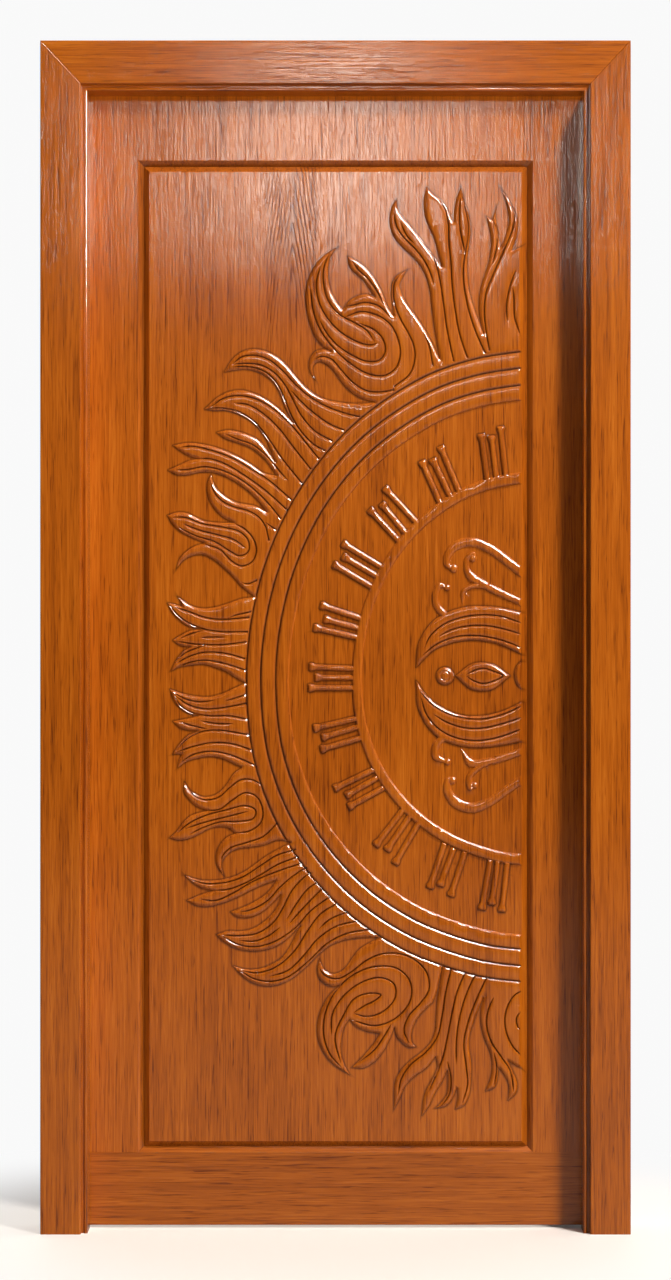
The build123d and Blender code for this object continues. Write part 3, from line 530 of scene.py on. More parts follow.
def height(points):
    """Height of the carving over the panel's face, in mm."""
    d_ring = groove_dist(points)[0]
    d_vein, strength = vein_dist(points)
    body = inside(points, body_outline) & ~inside(points, ring(STEP_RING))
    from_edge = np.minimum(flame_dist(points)[0] / FLAME_EDGE, step_dist(points)[0] / RING_EDGE)
    h = np.where(body, RELIEF * rise(from_edge), 0)
    band = inside(points, ring(BAND_RINGS[0])) & ~inside(points, ring(BAND_RINGS[1]))
    h = np.maximum(h, np.where(band, RELIEF * rise(band_dist(points)[0] / RING_EDGE), 0))
    in_bar = np.zeros(len(points), bool)
    for outline in bars:
        near = np.abs(points - outline.mean(axis=0)).max(axis=1) < 60
        in_bar[near] |= inside(points[near], outline)
    h = np.maximum(h, np.where(in_bar, RELIEF * rise(bar_dist(points)[0] / BAR_EDGE), 0))
    in_heart = np.zeros(len(points), bool)
    for outline in crescents:
        in_heart |= inside(points, outline)
    h = np.maximum(h, np.where(in_heart, RELIEF * rise(heart_dist(points)[0] / HEART_EDGE), 0))
    in_disc = inside(points, discs[0]) | inside(points, discs[1])
    h = np.maximum(h, np.where(in_disc, RELIEF * rise(disc_dist(points)[0] / DISC_EDGE), 0))
    ringlet = np.abs(np.linalg.norm(points - DISC, axis=1) - 8.5)
    h -= 1.3 * np.clip(1 - ringlet / 2.4, 0, 1)
    for centre, size in BALLS:
        out = np.linalg.norm(points - centre, axis=1) / size
        h = np.maximum(h, RELIEF * np.sqrt(np.clip(1 - out ** 2, 0, 1)))
    d, w = scroll_dist(points)
    h = np.maximum(h, RELIEF * np.sqrt(np.clip(1 - (d / w) ** 2, 0, 1)) * np.clip(w / 5, 0, 1))
    width = VEIN_HALF * strength + 1e-6
    cut = VEIN_D * strength * np.clip(1 - d_vein / width, 0, 1)
    cut += 0.55 * strength * np.exp(-np.clip(d_vein - width, 0, None) / 1.6) * (d_vein < 12)
    cut = np.maximum(cut, GROOVE_D * np.clip(1 - d_ring / GROOVE_HALF, 0, 1)
                     + 0.6 * np.exp(-np.clip(d_ring - GROOVE_HALF, 0, None) / 2.0))
    h = np.clip(h - np.where(h > 0.4, cut, 0), 0, None)
    return np.minimum(h, np.clip((points[:, 0] - EDGE_A) * SLOPE, 0, None))


def stain_and_shade_amount(points, h):
    """Stain and painted shade in the grooves, painted shadow at the foot of raised edges."""
    d_vein, strength = vein_dist(points)
    # dark stain with painted shade at the bottom of the cuts and the ring's grooves
    in_groove = np.maximum(strength * np.clip(1.0 - d_vein / (0.6 * VEIN_HALF * strength + 1e-6), 0, 1),
                           np.clip(1.0 - groove_dist(points)[0] / (0.7 * GROOVE_HALF), 0, 1))
    foot = np.min([near(points)[0] for near in (flame_dist, bar_dist, heart_dist, disc_dist)], axis=0)
    # painted shadow at the foot of the raised edges
    painted_foot_shade = np.clip(1 - foot / 3.5, 0, 1) * (h < 0.8)
    return np.clip(np.maximum(in_groove * (h < RELIEF - 0.5) * (h > 0), 0.7 * painted_foot_shade), 0, 1)


middle_height = height(np.array([[300.0, -8.0], [513.0, 81.0]]))
print("height on the dial's ground and in the outermost groove:", middle_height.round(2), "mm")

# %% [markdown]
# ## Points for the carved panel
# A regular grid fine enough for the cuts would need millions of faces. So rows of points run along every
# line, where the height changes fast, and the flat ground gets few.

# %% Rows of points
A0, A1, B0, B1 = EDGE_A, 701.5, -880.2, 918.8  # the flat face inside the sloped groove
GROUND_Y, FLOOR_Y, CORE_Y = 12.0, 21.0, 26.0
fixed, edges, free = [], [], []


def keep_line(line):
    """Add a sampled line whose edges have to stay."""
    ok = (line[:, 0] > A0 + 0.8) & (line[:, 0] < A1 - 1) & (line[:, 1] > B0 + 1) & (line[:, 1] < B1 - 1)
    before = None
    for point, good in zip(line, ok):
        if good:
            fixed.append(point)
            if before is not None:
                edges.append((before, len(fixed) - 1))
            before = len(fixed) - 1
        else:
            before = None


for line in flame_lines + heart_lines:
    keep_line(line)
for scale in GROOVE_RINGS:
    for off in (-GROOVE_HALF, 0, GROOVE_HALF):
        line = ring(scale)
        keep_line(line + normals(line) * off)
for scale in (STEP_RING, *BAND_RINGS):
    keep_line(ring(scale))
for outline in closed + closed_discs:
    keep_line(outline)
for line, strength in zip(vein_lines + heart_veins, vein_taper + heart_taper):
    n = normals(line)
    keep_line(line)
    for side in (-1, 1):
        keep_line(line[1:-1] + n[1:-1] * (side * VEIN_HALF * strength[1:-1])[:, None])
for line, w in scroll_lines:
    n = normals(line)
    for share in (-1, 0, 1):
        keep_line(line + n * (share * w)[:, None])


def soft_rows(lines, offsets, dist):
    """Rows beside lines, where they are no nearer to another line."""
    for line in lines:
        n = normals(line)
        for off in offsets:
            for side in (-1, 1):
                row = line + n * off * side
                free.append(row[dist(row)[0] > 0.93 * off])


soft_rows(flame_lines, (0.9, 2.1, 3.8, 6.0), flame_dist)
soft_rows(vein_lines + heart_veins, (VEIN_HALF + 1.2, VEIN_HALF + 3.0, VEIN_HALF + 6), vein_dist)
soft_rows([ring(s) for s in GROOVE_RINGS], (GROOVE_HALF + 1.5, GROOVE_HALF + 4.5), groove_dist)
soft_rows([ring(STEP_RING)], (1.0, 2.2, 4.0), step_dist)
soft_rows([ring(s) for s in BAND_RINGS], (1.0, 2.2, 3.5), band_dist)
soft_rows(closed, (0.9, 2.0, 3.4), bar_dist)
soft_rows(heart_lines, (1.2, 2.8, 5.0), heart_dist)
soft_rows(closed_discs, (1.3, 3.2, 6.0), disc_dist)
for (a, b), size in [(DISC, 12.5)] + BALLS:
    for share in (1.0, 0.93, 0.8, 0.66, 0.5, 0.25):
        free.append(np.stack([a + size * share * np.cos(turn), b + size * share * np.sin(turn)], axis=1))
for line, w in scroll_lines:
    n = normals(line)
    for share in (-0.92, -0.75, -0.42, 0.42, 0.75, 0.92):
        free.append(line + n * (share * w)[:, None])
for a in (12.8, 15.17):  # where the sloped groove cuts the carving off, halfway up and at its full height
    free.append(np.stack([np.full(700, a), np.linspace(-790, 830, 700)], axis=1))
rng = np.random.default_rng(7)
grid = np.stack(np.meshgrid(np.arange(20, 700, 13.0), np.arange(-870, 915, 13.0)), axis=-1).reshape(-1, 2)
free.append(grid + rng.uniform(-3, 3, grid.shape))
free = np.vstack(free)
free = free[(free[:, 0] > A0 + 1.5) & (free[:, 0] < A1 - 2) & (free[:, 1] > B0 + 2) & (free[:, 1] < B1 - 2)]
free = free[np.unique(np.round(free / 1.5), axis=0, return_index=True)[1]]
kept = kdtree.KDTree(len(fixed))
for i, (a, b) in enumerate(fixed):
    kept.insert((a, b, 0), i)
kept.balance()
free = np.array([p for p in free if kept.find((p[0], p[1], 0))[2] > 0.75])
print(len(fixed), "points on lines,", len(free), "between them")

# %% [markdown]
# ## The panel's mesh
# A Delaunay triangulation that keeps the lines as edges joins the points, so every cut stays crisp. The
# rim then goes back along the sloped groove and the board's edge to a flat rear face, which closes it.

# %% Triangles, sides, stain and painted shade
# the rim of the flat face, with close points at the right where the carving runs into it
rim = [(A0, b) for b in np.linspace(B1, B0, 601)[:-1]] + [(a, B0) for a in np.linspace(A0, A1, 31)[:-1]]
rim += [(A1, b) for b in np.linspace(B0, B1, 61)[:-1]] + [(a, B1) for a in np.linspace(A1, A0, 31)[:-1]]
first = len(fixed)
fixed += [np.array(p) for p in rim]
edges += [(first + i, first + (i + 1) % len(rim)) for i in range(len(rim))]
flat = [Vector(p) for p in np.vstack([fixed, free])]
verts, _, faces, origin, _, _ = delaunay_2d_cdt(flat, edges, [], 0, 1e-3)
points = np.array([v[:] for v in verts])
h = height(points)
rim_at = {o: i for i, os in enumerate(origin) for o in os if first <= o < first + len(rim)}
rim_ids = [rim_at[first + i] for i in range(len(rim))]
h[rim_ids] = 0


SUN_X, SUN_Z = 356, 1041.2  # where a and b are zero, in mm


def place(a, b, y):
    """A point of the tables and its depth, both in mm, in the part's frame."""
    return ((SUN_X - a) / 1000, y / 1000, (SUN_Z + b) / 1000)


coords = [place(a, b, GROUND_Y - z) for (a, b), z in zip(points, h)]
tris = [tuple(reversed(f)) for f in faces]
mid = np.array([(A0 + A1) / 2, (B0 + B1) / 2])
grow = np.array([356 / 345.5, 910 / 899.5])  # the whole board against its flat face
loops = [rim_ids]
for y in (FLOOR_Y, CORE_Y):
    loops.append(list(range(len(coords), len(coords) + len(rim))))
    coords += [place(*(mid + (np.array(p) - mid) * grow), y) for p in rim]
for near, far in zip(loops, loops[1:]):
    for i in range(len(rim)):
        j = (i + 1) % len(rim)
        tris.append((near[i], near[j], far[j], far[i]))
tris.append(tuple(loops[-1]))
panel_mesh = bpy.data.meshes.new("carved_panel_mesh")
panel_mesh.from_pydata(coords, [], tris)
panel_mesh.update()
# painted shade on the sides of the panel, along its sloped groove and edge
SIDE_PAINTED_SHADE = 0.3
# stain with painted shade in the cuts and painted shadow at the feet, kept on each point of the mesh
stain_and_shade = panel_mesh.attributes.new("stain_and_shade", "FLOAT", "POINT")
amounts = np.r_[stain_and_shade_amount(points, h), np.full(len(coords) - len(points), SIDE_PAINTED_SHADE)]
stain_and_shade.data.foreach_set("value", amounts.astype(np.float32))
panel = bpy.data.objects.new("carved_panel_face", panel_mesh)
bpy.context.scene.collection.objects.link(panel)
panel_mesh.shade_smooth()
panel_mesh.set_sharp_from_angle(angle=math.radians(32))
print(len(panel_mesh.polygons), "faces")

# %% [markdown]
# ## Sums inside a node tree
# The wood and the screws both need arithmetic made of Math nodes. One helper adds a node and wires it, so
# the cells below read like plain sums.

# %% A helper for sums
def sums_in(tree):
    """A function that adds a Math node to the tree, sets or links its inputs and returns its output."""

    def maths(op, a, b=None, clamp=False):
        made = tree.nodes.new("ShaderNodeMath")
        made.operation, made.use_clamp = op, clamp
        for i, v in enumerate((a, b)):
            if isinstance(v, (int, float)):
                made.inputs[i].default_value = v
            elif v is not None:
                tree.links.new(v, made.inputs[i])
        return made.outputs[0]

    return maths


print("helper ready")

# %% [markdown]
# ## Wood
# Red-brown varnished boards. One node tree makes every kind of wood here, in Object coordinates stretched
# along the grain, so the grain runs on round each edge as in solid wood, which a picture laid on the faces
# wouldn't do. Noise at three scales gives tone, streaks and fibres, short dark dashes are the open pores,
# and arches repeated up the board give the pointed figure of flat-sawn wood. A clear coat is the varnish.

# %% The wood material
def wood(name, grain, base, light, dark, figure=0.0, rough=0.36, seed=0.0, stained_and_shaded=False, front=None):
    """A varnished wood. grain is the axis of its fibres, figure the strength of the pointed arches."""
    mat = bpy.data.materials.new(name)
    mat.use_nodes = True
    tree = mat.node_tree
    new, link = tree.nodes.new, tree.links.new
    shader = tree.nodes["Principled BSDF"]
    maths = sums_in(tree)

    def smooth(value, lo, hi, to_lo=0.0, to_hi=1.0):
        """A soft step of value between lo and hi."""
        made = new("ShaderNodeMapRange")
        made.interpolation_type = "SMOOTHSTEP"
        for key, v in (("From Min", lo), ("From Max", hi), ("To Min", to_lo), ("To Max", to_hi)):
            made.inputs[key].default_value = v
        link(value, made.inputs["Value"])
        return made.outputs["Result"]

    coords = new("ShaderNodeTexCoord")
    split = new("ShaderNodeSeparateXYZ")
    link(coords.outputs["Object"], split.inputs[0])
    axes = {"X": split.outputs[0], "Y": split.outputs[1], "Z": split.outputs[2]}
    along = axes[grain]
    across = axes["X" if grain != "X" else "Z"]
    depth = axes["Y" if grain != "Y" else "Z"]

    def fibres(wide, long, detail=2.0, roughness=0.5, shift=0.0, distort=0.0):
        """Noise with its own scale across and along the grain."""
        join = new("ShaderNodeCombineXYZ")
        link(maths("MULTIPLY", across, wide), join.inputs[0])
        link(maths("MULTIPLY", depth, wide), join.inputs[1])
        link(maths("ADD", maths("MULTIPLY", along, long), seed + shift), join.inputs[2])
        made = new("ShaderNodeTexNoise")
        for key, v in (("Scale", 1.0), ("Detail", detail), ("Roughness", roughness), ("Distortion", distort)):
            made.inputs[key].default_value = v
        link(join.outputs[0], made.inputs["Vector"])
        return made.outputs["Fac"]

    tone = fibres(5.0, 1.6, 3.0, 0.6)
    streak = fibres(75.0, 1.8, 3.0, 0.62, 3.0)
    fine = fibres(330.0, 9.0, 3.0, 0.65, 7.0, 0.4)
    pores = smooth(fibres(470.0, 18.0, 1.0, 0.5, 11.0, 0.6), 0.55, 0.72)
    value = maths("ADD", 0.5, maths("MULTIPLY", maths("SUBTRACT", tone, 0.5), 0.55))
    value = maths("ADD", value, maths("MULTIPLY", maths("SUBTRACT", streak, 0.5), 0.60))
    value = maths("ADD", value, maths("MULTIPLY", maths("SUBTRACT", fine, 0.5), 0.90))
    dips = maths("MULTIPLY", pores, 0.24)
    if figure:
        wobble = fibres(26.0, 5.0, 2.0, 0.5, 17.0)
        sway = maths("MULTIPLY", maths("SUBTRACT", wobble, 0.5), 0.012)
        side = maths("ADD", maths("SUBTRACT", across, FIGURE_X), sway)
        side = maths("SQRT", maths("ADD", maths("MULTIPLY", side, side), 0.000012))
        arch = maths("ADD", maths("MULTIPLY", along, 21.0), maths("MULTIPLY", side, 150.0))
        arch = maths("ADD", arch, maths("MULTIPLY", fibres(9.0, 7.0, 2.0, 0.5, 23.0), 1.6))
        lines = maths("POWER", maths("ABSOLUTE", maths("SINE", maths("MULTIPLY", arch, math.pi))), 6.0)
        patch = maths("MULTIPLY", smooth(side, 0.075, 0.012), smooth(along, 1.30, 1.62))
        patch = maths("MULTIPLY", patch, smooth(fibres(14.0, 4.0, 1.0, 0.5, 31.0), 0.30, 0.58))
        dips = maths("ADD", dips, maths("MULTIPLY", maths("MULTIPLY", lines, patch), figure))
    value = maths("SUBTRACT", value, dips, clamp=True)

    ramp = new("ShaderNodeValToRGB")
    ends = ramp.color_ramp.elements
    ends[0].position, ends[0].color = 0.10, (*dark, 1)
    ends[1].position, ends[1].color = 0.88, (*light, 1)
    ends.new(0.50).color = (*base, 1)
    link(value, ramp.inputs[0])
    colour = ramp.outputs[0]
    # stain and painted shade: the carving's amounts, or painted shade deep in the surround's groove
    if stained_and_shaded or front is not None:
        if stained_and_shaded:
            kept = new("ShaderNodeAttribute")
            kept.attribute_name = "stain_and_shade"
            stain_and_shade = kept.outputs["Fac"]
        else:
            stain_and_shade = maths("MULTIPLY", smooth(depth, front + 0.001, front + 0.009), 0.5)
        mix = new("ShaderNodeMix")
        mix.data_type = "RGBA"
        link(stain_and_shade, mix.inputs["Factor"])
        link(colour, mix.inputs["A"])
        mix.inputs["B"].default_value = (*STAIN_AND_SHADE_COLOUR, 1)
        colour = mix.outputs["Result"]
    link(colour, shader.inputs["Base Color"])
    link(maths("ADD", rough - 0.06, maths("MULTIPLY", fine, 0.12)), shader.inputs["Roughness"])
    lift = maths("SUBTRACT", maths("MULTIPLY", fine, 0.8), dips)
    bump = new("ShaderNodeBump")
    bump.inputs["Strength"].default_value, bump.inputs["Distance"].default_value = 0.5, 0.0005
    link(lift, bump.inputs["Height"])
    link(bump.outputs[0], shader.inputs["Normal"])
    link(bump.outputs[0], shader.inputs["Coat Normal"])
    shader.inputs["Coat Weight"].default_value = 0.9 if rough < 0.5 else 0.0
    shader.inputs["Coat Roughness"].default_value = 0.11
    shader.inputs["Specular IOR Level"].default_value = 0.06
    return mat


FIGURE_X = -0.079  # middle of the arches
# colour of the dark stain and of the painted shade
STAIN_AND_SHADE_COLOUR = (0.026, 0.0045, 0.0005)
BASE, LIGHT, DARK = (0.43, 0.098, 0.0030), (0.60, 0.165, 0.010), (0.15, 0.026, 0.0010)
# the carving takes its stain and painted shade from its mesh
panel_wood = wood("panel_wood", "Z", BASE, LIGHT, DARK, 0.42, stained_and_shaded=True)
# the surround's sloped groove is painted darker with depth, as shade
surround_wood = wood("surround_wood", "Z", BASE, LIGHT, DARK, seed=40.0, front=0.012)
bottom_wood = wood("bottom_wood", "X", (0.40, 0.092, 0.0035), (0.56, 0.155, 0.011), DARK, seed=80.0)
upright_wood = wood("upright_wood", "Z", BASE, LIGHT, DARK, seed=120.0)
head_wood = wood("head_wood", "X", BASE, LIGHT, DARK, seed=160.0)
skin_wood = wood("skin_wood", "Z", BASE, LIGHT, DARK, seed=240.0)
core_wood = wood("core_wood", "Z", (0.40, 0.25, 0.12), (0.55, 0.38, 0.21), (0.24, 0.13, 0.06),
                 rough=0.65, seed=200.0)
print(len(bpy.data.materials), "materials")

# %% [markdown]
# ## Metal
# The hinges are satin brass, the screws brushed steel. Both are plain metals whose gloss varies a little
# with noise, because handled metal is never evenly bright.

# %% The metals
def metal(name, colour, rough, scale):
    mat = bpy.data.materials.new(name)
    mat.use_nodes = True
    tree = mat.node_tree
    shader = tree.nodes["Principled BSDF"]
    shader.inputs["Base Color"].default_value = (*colour, 1)
    shader.inputs["Metallic"].default_value = 1.0
    coords = tree.nodes.new("ShaderNodeTexCoord")
    noise = tree.nodes.new("ShaderNodeTexNoise")
    noise.inputs["Scale"].default_value = scale
    noise.inputs["Detail"].default_value = 4.0
    tree.links.new(coords.outputs["Object"], noise.inputs["Vector"])
    spread = tree.nodes.new("ShaderNodeMapRange")
    spread.inputs["To Min"].default_value = rough - 0.07
    spread.inputs["To Max"].default_value = rough + 0.10
    tree.links.new(noise.outputs["Fac"], spread.inputs["Value"])
    tree.links.new(spread.outputs[0], shader.inputs["Roughness"])
    return mat


brass = metal("hinge_brass", (0.72, 0.50, 0.20), 0.30, 90.0)
steel = metal("screw_steel", (0.56, 0.56, 0.55), 0.34, 300.0)
print(brass.name, "and", steel.name)

# %% [markdown]
# ## Screws from Geometry Nodes
# Wood screws hold the hinges and the frame's corners. They repeat, so one tree makes them all: a
# cylinder's rings are moved in and out by a rule for head, shank, thread and tip, a cross is cut from the
# head, and a copy goes to each point, aimed along the value kept there.

# %% The screw tree
def screw_tree():
    tree = bpy.data.node_groups.new("screws", "GeometryNodeTree")
    tree.interface.new_socket("Geometry", in_out="INPUT", socket_type="NodeSocketGeometry")
    sizes = (("Head Radius", 0.004), ("Head Height", 0.0025), ("Shank Radius", 0.002), ("Length", 0.025),
             ("Pitch", 0.0018), ("Proud", 0.00015))
    for name, value in sizes:
        tree.interface.new_socket(name, in_out="INPUT", socket_type="NodeSocketFloat").default_value = value
    tree.interface.new_socket("Seed", in_out="INPUT", socket_type="NodeSocketInt").default_value = 5
    tree.interface.new_socket("Material", in_out="INPUT", socket_type="NodeSocketMaterial")
    tree.interface.new_socket("Geometry", in_out="OUTPUT", socket_type="NodeSocketGeometry")
    new, link = tree.nodes.new, tree.links.new
    given = new("NodeGroupInput").outputs
    maths = sums_in(tree)

    def pick(test, no, yes):
        made = new("GeometryNodeSwitch")
        made.input_type = "FLOAT"
        link(test, made.inputs["Switch"])
        link(no, made.inputs["False"])
        link(yes, made.inputs["True"])
        return made.outputs[0]

    rod = new("GeometryNodeMeshCylinder")
    rod.inputs["Vertices"].default_value = 24
    rod.inputs["Side Segments"].default_value = 56
    rod.inputs["Radius"].default_value = 1.0
    link(given["Length"], rod.inputs["Depth"])
    spot = new("ShaderNodeSeparateXYZ")
    link(new("GeometryNodeInputPosition").outputs[0], spot.inputs[0])
    down = maths("SUBTRACT", maths("DIVIDE", given["Length"], 2.0), spot.outputs[2])
    turns = maths("DIVIDE", maths("ARCTAN2", spot.outputs[1], spot.outputs[0]), 2 * math.pi)
    wave = maths("PINGPONG", maths("ADD", maths("DIVIDE", down, given["Pitch"]), turns), 0.5)
    depth = maths("MULTIPLY", wave, maths("MULTIPLY", given["Shank Radius"], 0.5))
    thread = maths("SUBTRACT", given["Shank Radius"], depth)
    left = maths("SUBTRACT", given["Length"], down)
    tip = maths("DIVIDE", left, maths("MULTIPLY", given["Shank Radius"], 2.2), clamp=True)
    shank = maths("MULTIPLY", thread, maths("ADD", 0.04, maths("MULTIPLY", tip, 0.96)))
    eased = maths("ADD", maths("MULTIPLY", given["Head Radius"], 0.93), down)
    rim = maths("MINIMUM", given["Head Radius"], eased)
    below = maths("GREATER_THAN", down, given["Head Height"])
    radius = pick(below, rim, shank)
    put = new("ShaderNodeCombineXYZ")
    link(maths("MULTIPLY", spot.outputs[0], radius), put.inputs[0])
    link(maths("MULTIPLY", spot.outputs[1], radius), put.inputs[1])
    link(maths("SUBTRACT", given["Proud"], down), put.inputs[2])
    shape = new("GeometryNodeSetPosition")
    link(rod.outputs["Mesh"], shape.inputs["Geometry"])
    link(put.outputs[0], shape.inputs["Position"])

    cut = new("GeometryNodeMeshBoolean")
    cut.operation = "DIFFERENCE"
    link(shape.outputs[0], cut.inputs["Mesh 1"])
    for turn in (0, math.pi / 2):
        size = new("ShaderNodeCombineXYZ")
        link(maths("MULTIPLY", given["Head Radius"], 1.15), size.inputs[0])
        link(maths("MULTIPLY", given["Head Radius"], 0.22), size.inputs[1])
        link(given["Head Height"], size.inputs[2])
        block = new("GeometryNodeMeshCube")
        link(size.outputs[0], block.inputs["Size"])
        place_block = new("GeometryNodeTransform")
        place_block.inputs["Rotation"].default_value = (0, 0, turn)
        link(block.outputs["Mesh"], place_block.inputs["Geometry"])
        link(place_block.outputs[0], cut.inputs["Mesh 2"])

    twist = new("FunctionNodeRandomValue")
    twist.inputs[3].default_value = math.pi
    link(given["Seed"], twist.inputs["Seed"])
    roll = new("ShaderNodeCombineXYZ")
    link(twist.outputs[1], roll.inputs[2])
    spin = new("FunctionNodeEulerToRotation")
    link(roll.outputs[0], spin.inputs[0])
    aim = new("GeometryNodeInputNamedAttribute")
    aim.data_type = "FLOAT_VECTOR"
    aim.inputs["Name"].default_value = "aim"
    face = new("FunctionNodeAlignRotationToVector")
    face.axis = "Z"
    link(aim.outputs[0], face.inputs["Vector"])
    both = new("FunctionNodeRotateRotation")
    both.rotation_space = "LOCAL"
    link(face.outputs[0], both.inputs["Rotation"])
    link(spin.outputs[0], both.inputs["Rotate By"])
    copies = new("GeometryNodeInstanceOnPoints")
    link(given["Geometry"], copies.inputs["Points"])
    link(cut.outputs["Mesh"], copies.inputs["Instance"])
    link(both.outputs[0], copies.inputs["Rotation"])
    real = new("GeometryNodeRealizeInstances")
    link(copies.outputs[0], real.inputs[0])
    paint = new("GeometryNodeSetMaterial")
    link(real.outputs[0], paint.inputs["Geometry"])
    link(given["Material"], paint.inputs["Material"])
    link(paint.outputs[0], new("NodeGroupOutput").inputs[0])
    return tree


SCREWS = screw_tree()
print(len(SCREWS.nodes), "nodes in the screw tree")

# %% [markdown]
# ## The screws in their places
# Three screws go through each hinge leaf, the middle one set off so that the wood doesn't split along one
# line of grain. Two go down through the head into each jamb.

# %% Screws of the hinges and corners
def screws(name, spots, aims, **sizes):
    """One screw at each spot, its head facing along its aim, as a plain mesh."""
    points = bpy.data.meshes.new(name + "_points")
    points.from_pydata(spots, [], [])
    points.attributes.new("aim", "FLOAT_VECTOR", "POINT").data.foreach_set("vector", np.ravel(aims))
    carrier = bpy.data.objects.new(name + "_points", points)
    bpy.context.scene.collection.objects.link(carrier)
    mod = carrier.modifiers.new("screws", "NODES")
    mod.node_group = SCREWS
    for socket in SCREWS.interface.items_tree:
        if socket.in_out == "INPUT" and socket.name in sizes:
            mod[socket.identifier] = sizes[socket.name]
        if socket.in_out == "INPUT" and socket.name == "Material":
            mod[socket.identifier] = steel
    ready = carrier.evaluated_get(bpy.context.evaluated_depsgraph_get())
    mesh = bpy.data.meshes.new_from_object(ready)
    bpy.data.objects.remove(carrier)
    mesh.shade_smooth()
    mesh.set_sharp_from_angle(angle=math.radians(35))
    made = bpy.data.objects.new(name, mesh)
    bpy.context.scene.collection.objects.link(made)
    return made


HINGES, END, NEAR_Y, STAGGER = (0.25, 1.08, 1.91), 0.034, 0.035, 0.007
rows = [(y, z + dz) for z in HINGES for y, dz in ((NEAR_Y, -END), (NEAR_Y + STAGGER, 0.0), (NEAR_Y, END))]
frame_screws = screws("frame_hinge_screws_cut", [(-0.469, y, z) for y, z in rows], [(1, 0, 0)] * len(rows))
leaf_screws = screws("door_hinge_screws_cut", [(-0.466, y, z) for y, z in rows], [(-1, 0, 0)] * len(rows))
corners = [(x, y, 2.16) for x in (-0.495, 0.495) for y in (-0.028, 0.028)]
sizes = {"Head Radius": 0.005, "Head Height": 0.004, "Shank Radius": 0.003,
         "Length": 0.075, "Pitch": 0.004, "Proud": 0.0}
corner_screws = screws("frame_corner_screws_cut", corners, [(0, 0, 1)] * 4, **sizes)
for made, node_name, body in ((frame_screws, "frame_hinge_screws", "frame"),
                              (leaf_screws, "door_hinge_screws", "leaf"),
                              (corner_screws, "frame_corner_screws", "frame")):
    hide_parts(node_name)
    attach(made, body)
    print(made.name, len(made.data.polygons), "faces")

# %% [markdown]
# ## Dress the parts
# The boards keep their CAD form. Sanded wood has no sharp edge, so a small bevel, live on each board,
# eases them and lets them catch the light.

# %% Materials and eased edges on the CAD boards
def dress(name, mat, ease=0.0007):
    o = nodes[name]
    o.data.materials.clear()
    o.data.materials.append(mat)
    weld = o.modifiers.new("weld", "WELD")
    weld.merge_threshold = 0.00002
    bevel = o.modifiers.new("ease", "BEVEL")
    bevel.width, bevel.segments, bevel.limit_method = ease, 2, "ANGLE"
    bevel.angle_limit = math.radians(40)
    bevel.harden_normals = True


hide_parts("carved_panel")
panel_mesh.materials.append(panel_wood)
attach(panel, "leaf")
for side in ("left", "right"):
    dress(f"{side}_jamb", upright_wood)
    dress(f"front_{side}_casing", upright_wood, 0.0009)
    dress(f"rear_{side}_casing", upright_wood, 0.0009)
dress("head_member", head_wood)
dress("front_head_casing", head_wood, 0.0009)
dress("rear_head_casing", head_wood, 0.0009)
dress("front_surround_board", surround_wood)
dress("front_bottom_board", bottom_wood)
for name in ("hinge_stile_core", "lock_stile_core", "core_battens",
             "top_rail_core", "middle_rail_core", "bottom_rail_core"):
    dress(name, core_wood)
dress("rear_skin", skin_wood, 0.0004)
for level in ("top", "middle", "bottom"):
    for kind in ("frame_leaf", "door_leaf", "pin"):
        o = nodes[f"{level}_hinge_{kind}"]
        o.data.materials.clear()
        o.data.materials.append(brass)
print(sum(bool(o.data.materials) for o in nodes.values()), "CAD nodes have their material")

# %% [markdown]
# ## Floor
# A pale floor carries the door's shadow. For the camera alone it is paler and fades to plain white away
# from the door, so that none of that brightness is thrown back onto the wood.

# %% The floor
floor_mesh = bpy.data.meshes.new("floor")
floor_mesh.from_pydata([(-12, -12, 0), (12, -12, 0), (12, 12, 0), (-12, 12, 0)], [], [(0, 1, 2, 3)])
floor = bpy.data.objects.new("floor", floor_mesh)
bpy.context.scene.collection.objects.link(floor)
pale = bpy.data.materials.new("pale_floor")
pale.use_nodes = True
tree = pale.node_tree
matt = tree.nodes["Principled BSDF"]
tone = tree.nodes.new("ShaderNodeMix")
tone.data_type = "RGBA"
tone.inputs["A"].default_value = (0.25, 0.24, 0.23, 1)
tone.inputs["B"].default_value = (0.93, 0.90, 0.87, 1)
matt.inputs["Roughness"].default_value = 0.55
white = tree.nodes.new("ShaderNodeEmission")
white.inputs[0].default_value, white.inputs[1].default_value = (1, 1, 1, 1), 0.95
where = tree.nodes.new("ShaderNodeTexCoord")
far = tree.nodes.new("ShaderNodeVectorMath")
far.operation = "LENGTH"
fade = tree.nodes.new("ShaderNodeMapRange")
fade.interpolation_type = "SMOOTHERSTEP"
fade.inputs["From Min"].default_value, fade.inputs["From Max"].default_value = 0.35, 1.15
only = tree.nodes.new("ShaderNodeLightPath")
shown = tree.nodes.new("ShaderNodeMath")
shown.operation = "MULTIPLY"
blend = tree.nodes.new("ShaderNodeMixShader")
tree.links.new(where.outputs["Object"], far.inputs[0])
tree.links.new(far.outputs["Value"], fade.inputs["Value"])
tree.links.new(fade.outputs[0], shown.inputs[0])
tree.links.new(only.outputs["Is Camera Ray"], shown.inputs[1])
tree.links.new(only.outputs["Is Camera Ray"], tone.inputs["Factor"])
tree.links.new(tone.outputs["Result"], matt.inputs["Base Color"])
tree.links.new(shown.outputs[0], blend.inputs[0])
tree.links.new(matt.outputs[0], blend.inputs[1])
tree.links.new(white.outputs[0], blend.inputs[2])
tree.links.new(blend.outputs[0], tree.nodes["Material Output"].inputs[0])
floor_mesh.materials.append(pale)
print("floor", len(floor_mesh.polygons), "face")

